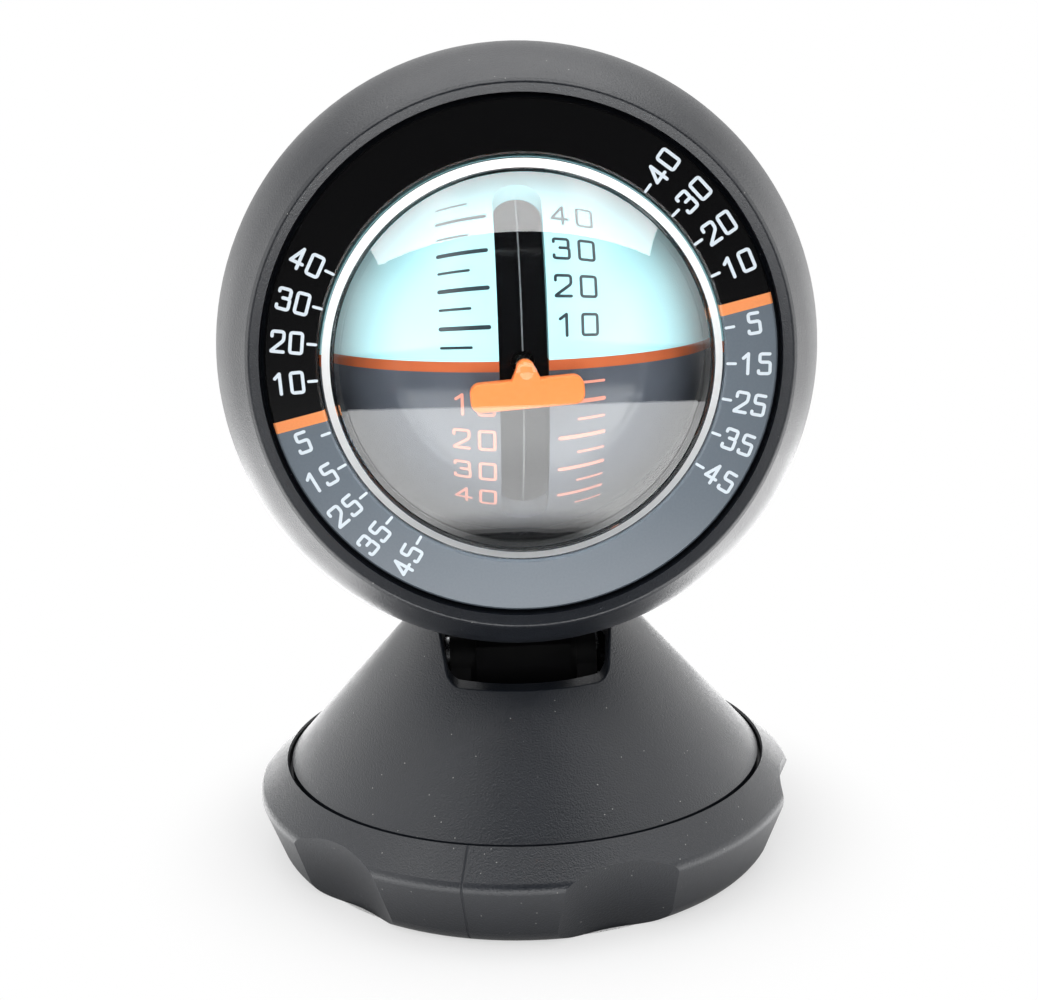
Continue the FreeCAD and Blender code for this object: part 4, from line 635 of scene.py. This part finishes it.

# To the camera the laminate is plain white, and near the base partly lit, so that it keeps the shadow.
# As mirrored it is a painted glow that grows the farther out it lies, dimmed near the base as a painted
# shadow.
table_top, tree = new_material("white_laminate")
path = add(tree, "LightPath")
place = add(tree, "TexCoord").outputs["Object"]
lit = add(tree, "BsdfDiffuse", {"Color": linear("f2f2f2")})
distance = add(tree, "VectorMath", {0: place}, operation="LENGTH")
# Painted glow and shadow: in mirrors the table glows 0.4 times white under the base and 4.2 times farther
# out.
painted_glow_and_shadow = add(tree, "MapRange", {**UNDER_BASE, "Value": distance.outputs["Value"],
                                    "To Min": PAINTED_TABLE_GLOW[0], "To Max": PAINTED_TABLE_GLOW[1]},
                 interpolation_type="SMOOTHSTEP")
mirrored = add(tree, "Math", {0: path.outputs["Is Glossy Ray"], 1: path.outputs["Is Transmission Ray"]},
               operation="MAXIMUM")
level_glow = add(tree, "MapRange", {"Value": mirrored.outputs["Value"], "To Min": 1.0,
                                    "To Max": painted_glow_and_shadow.outputs["Result"]})
glow = add(tree, "Emission", {"Color": (1, 1, 1, 1), "Strength": level_glow.outputs["Result"]})
seen = add(tree, "Math", {0: mirrored.outputs["Value"], 1: path.outputs["Is Camera Ray"]},
           operation="MAXIMUM")
unshaded = add(tree, "MapRange", {**UNDER_BASE, "Value": distance.outputs["Value"],
                                  "To Min": SHADOW_SHARE, "To Max": 1.0},
               interpolation_type="SMOOTHSTEP")
share = add(tree, "Math", {0: seen.outputs["Value"], 1: unshaded.outputs["Result"]}, operation="MULTIPLY")
white = add(tree, "MixShader", {0: share.outputs["Value"], 1: lit.outputs["BSDF"],
                                2: glow.outputs["Emission"]})
add(tree, "OutputMaterial", {"Surface": white.outputs["Shader"]})
table_mesh.materials.append(table_top)

# As mirrored, the tent has bright walls, a roof and an opening to the dark room. Lit surfaces get the
# even ambient share instead, and the camera sees plain white.
WALL_GLOW = (1.0, 2.5)
ROOF_GLOW = 2.35
SHOULDERS = (0.9, 1.6)
ROOM_SHARE = 0.03
AMBIENT = 0.45
world = bpy.data.worlds.new("studio")
bpy.context.scene.world = world
world.use_nodes = True
tree = world.node_tree
tree.nodes.clear()
path = add(tree, "LightPath")
way = add(tree, "SeparateXYZ", {"Vector": add(tree, "TexCoord").outputs["Generated"]})
sideways = add(tree, "Math", {0: way.outputs["X"]}, operation="ABSOLUTE")
# The walls grow brighter to the sides and downward.
lowness = add(tree, "Math", {0: way.outputs["Z"], 1: -0.4, 2: sideways.outputs["Value"]},
              operation="MULTIPLY_ADD")
walls = add(tree, "MapRange", {"Value": lowness.outputs["Value"], "From Min": 0.35, "From Max": 0.85,
                               "To Min": WALL_GLOW[0], "To Max": WALL_GLOW[1]},
            interpolation_type="SMOOTHSTEP")
# The roof fades out downward and is brighter to both sides of its middle.
overhead = add(tree, "MapRange", {"Value": way.outputs["Z"], "From Min": 0.70, "From Max": 0.95,
                                  "To Min": 0.0, "To Max": ROOF_GLOW}, interpolation_type="SMOOTHSTEP")
shoulders = add(tree, "MapRange", {"Value": sideways.outputs["Value"], "From Min": 0.15, "From Max": 0.42,
                                   "To Min": SHOULDERS[0], "To Max": SHOULDERS[1]},
                interpolation_type="SMOOTHSTEP")
tent = add(tree, "Math", {0: overhead.outputs["Result"], 1: shoulders.outputs["Result"],
                          2: walls.outputs["Result"]}, operation="MULTIPLY_ADD")
# The opening in front is wide below the horizontal, narrower above it, and ends near the top.
front = add(tree, "MapRange", {"Value": way.outputs["Y"], "From Min": -0.05, "From Max": -0.3,
                               "To Min": 0.0, "To Max": 1.0}, interpolation_type="SMOOTHSTEP")
half_width = add(tree, "MapRange", {"Value": way.outputs["Z"], "From Min": -0.06, "From Max": 0.06,
                                    "To Min": 1.1, "To Max": 0.45})
inside = add(tree, "Math", {0: half_width.outputs["Result"], 1: sideways.outputs["Value"]},
             operation="SUBTRACT")
narrow = add(tree, "MapRange", {"Value": inside.outputs["Value"], "From Min": 0.0, "From Max": 0.2,
                                "To Min": 0.0, "To Max": 1.0}, interpolation_type="SMOOTHSTEP")
under_roof = add(tree, "MapRange", {"Value": way.outputs["Z"], "From Min": 0.985, "From Max": 0.91,
                                    "To Min": 0.0, "To Max": 1.0}, interpolation_type="SMOOTHSTEP")
opening = add(tree, "Math", {0: front.outputs["Result"], 1: narrow.outputs["Result"]},
              operation="MULTIPLY")
room = add(tree, "Math", {0: opening.outputs["Value"], 1: under_roof.outputs["Result"]},
           operation="MULTIPLY")
left_over = add(tree, "MapRange", {"Value": room.outputs["Value"], "To Min": 1.0, "To Max": ROOM_SHARE})
around = add(tree, "Math", {0: tent.outputs["Value"], 1: left_over.outputs["Result"]},
             operation="MULTIPLY")
mirrored = add(tree, "Math", {0: path.outputs["Is Glossy Ray"], 1: path.outputs["Is Transmission Ray"]},
               operation="MAXIMUM")
direct = add(tree, "Math", {0: path.outputs["Diffuse Depth"], 1: 0.5}, operation="LESS_THAN")
clear_mirror = add(tree, "Math", {0: mirrored.outputs["Value"], 1: direct.outputs["Value"]},
                   operation="MULTIPLY")
ambient = add(tree, "MapRange", {"Value": path.outputs["Is Camera Ray"], "To Min": AMBIENT,
                                 "To Max": 1.0})
strength = add(tree, "MapRange", {"Value": clear_mirror.outputs["Value"],
                                  "To Min": ambient.outputs["Result"], "To Max": around.outputs["Value"]})
sky = add(tree, "Background", {"Color": (1, 1, 1, 1), "Strength": strength.outputs["Result"]})
add(tree, "OutputWorld", {"Surface": sky.outputs["Background"]})

LAMP_AIM = Vector((0, -0.02, 0.07))
for name, place, size, watts in (("overhead_soft_box", (0, -0.02, 0.5), (0.5, 0.4), 0.8),
                                 ("front_soft_box", (0, -0.46, 0.28), (0.6, 0.3), 1.5),
                                 ("left_soft_box", (-0.5, -0.16, 0.34), (0.5, 0.5), 0.95),
                                 ("right_soft_box", (0.5, -0.16, 0.34), (0.5, 0.5), 0.45),
                                 ("lens_strip", (0, -0.283, 0.463), (1.1, 0.19), 7.5)):
    box_data = bpy.data.lights.new(name, "AREA")
    box_data.shape = "RECTANGLE"
    box_data.size, box_data.size_y = size
    box_data.energy = watts
    is_strip = name == "lens_strip"
    box_data.cycles.use_multiple_importance_sampling = is_strip
    soft_box = bpy.data.objects.new(name, box_data)
    facing = (LAMP_AIM - Vector(place)).to_track_quat("-Z", "Y").to_matrix().to_4x4()
    soft_box.matrix_world = Matrix.Translation(place) @ facing
    soft_box.visible_camera = False
    soft_box.visible_transmission = False
    soft_box.visible_glossy = is_strip
    bpy.context.scene.collection.objects.link(soft_box)
    if is_strip:
        lens_alone = bpy.data.collections.new("lens_alone")
        lens_alone.objects.link(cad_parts["lens_dome"])
        soft_box.light_linking.receiver_collection = lens_alone

bpy.context.scene.view_settings.view_transform = "Standard"
bpy.context.view_layer.update()
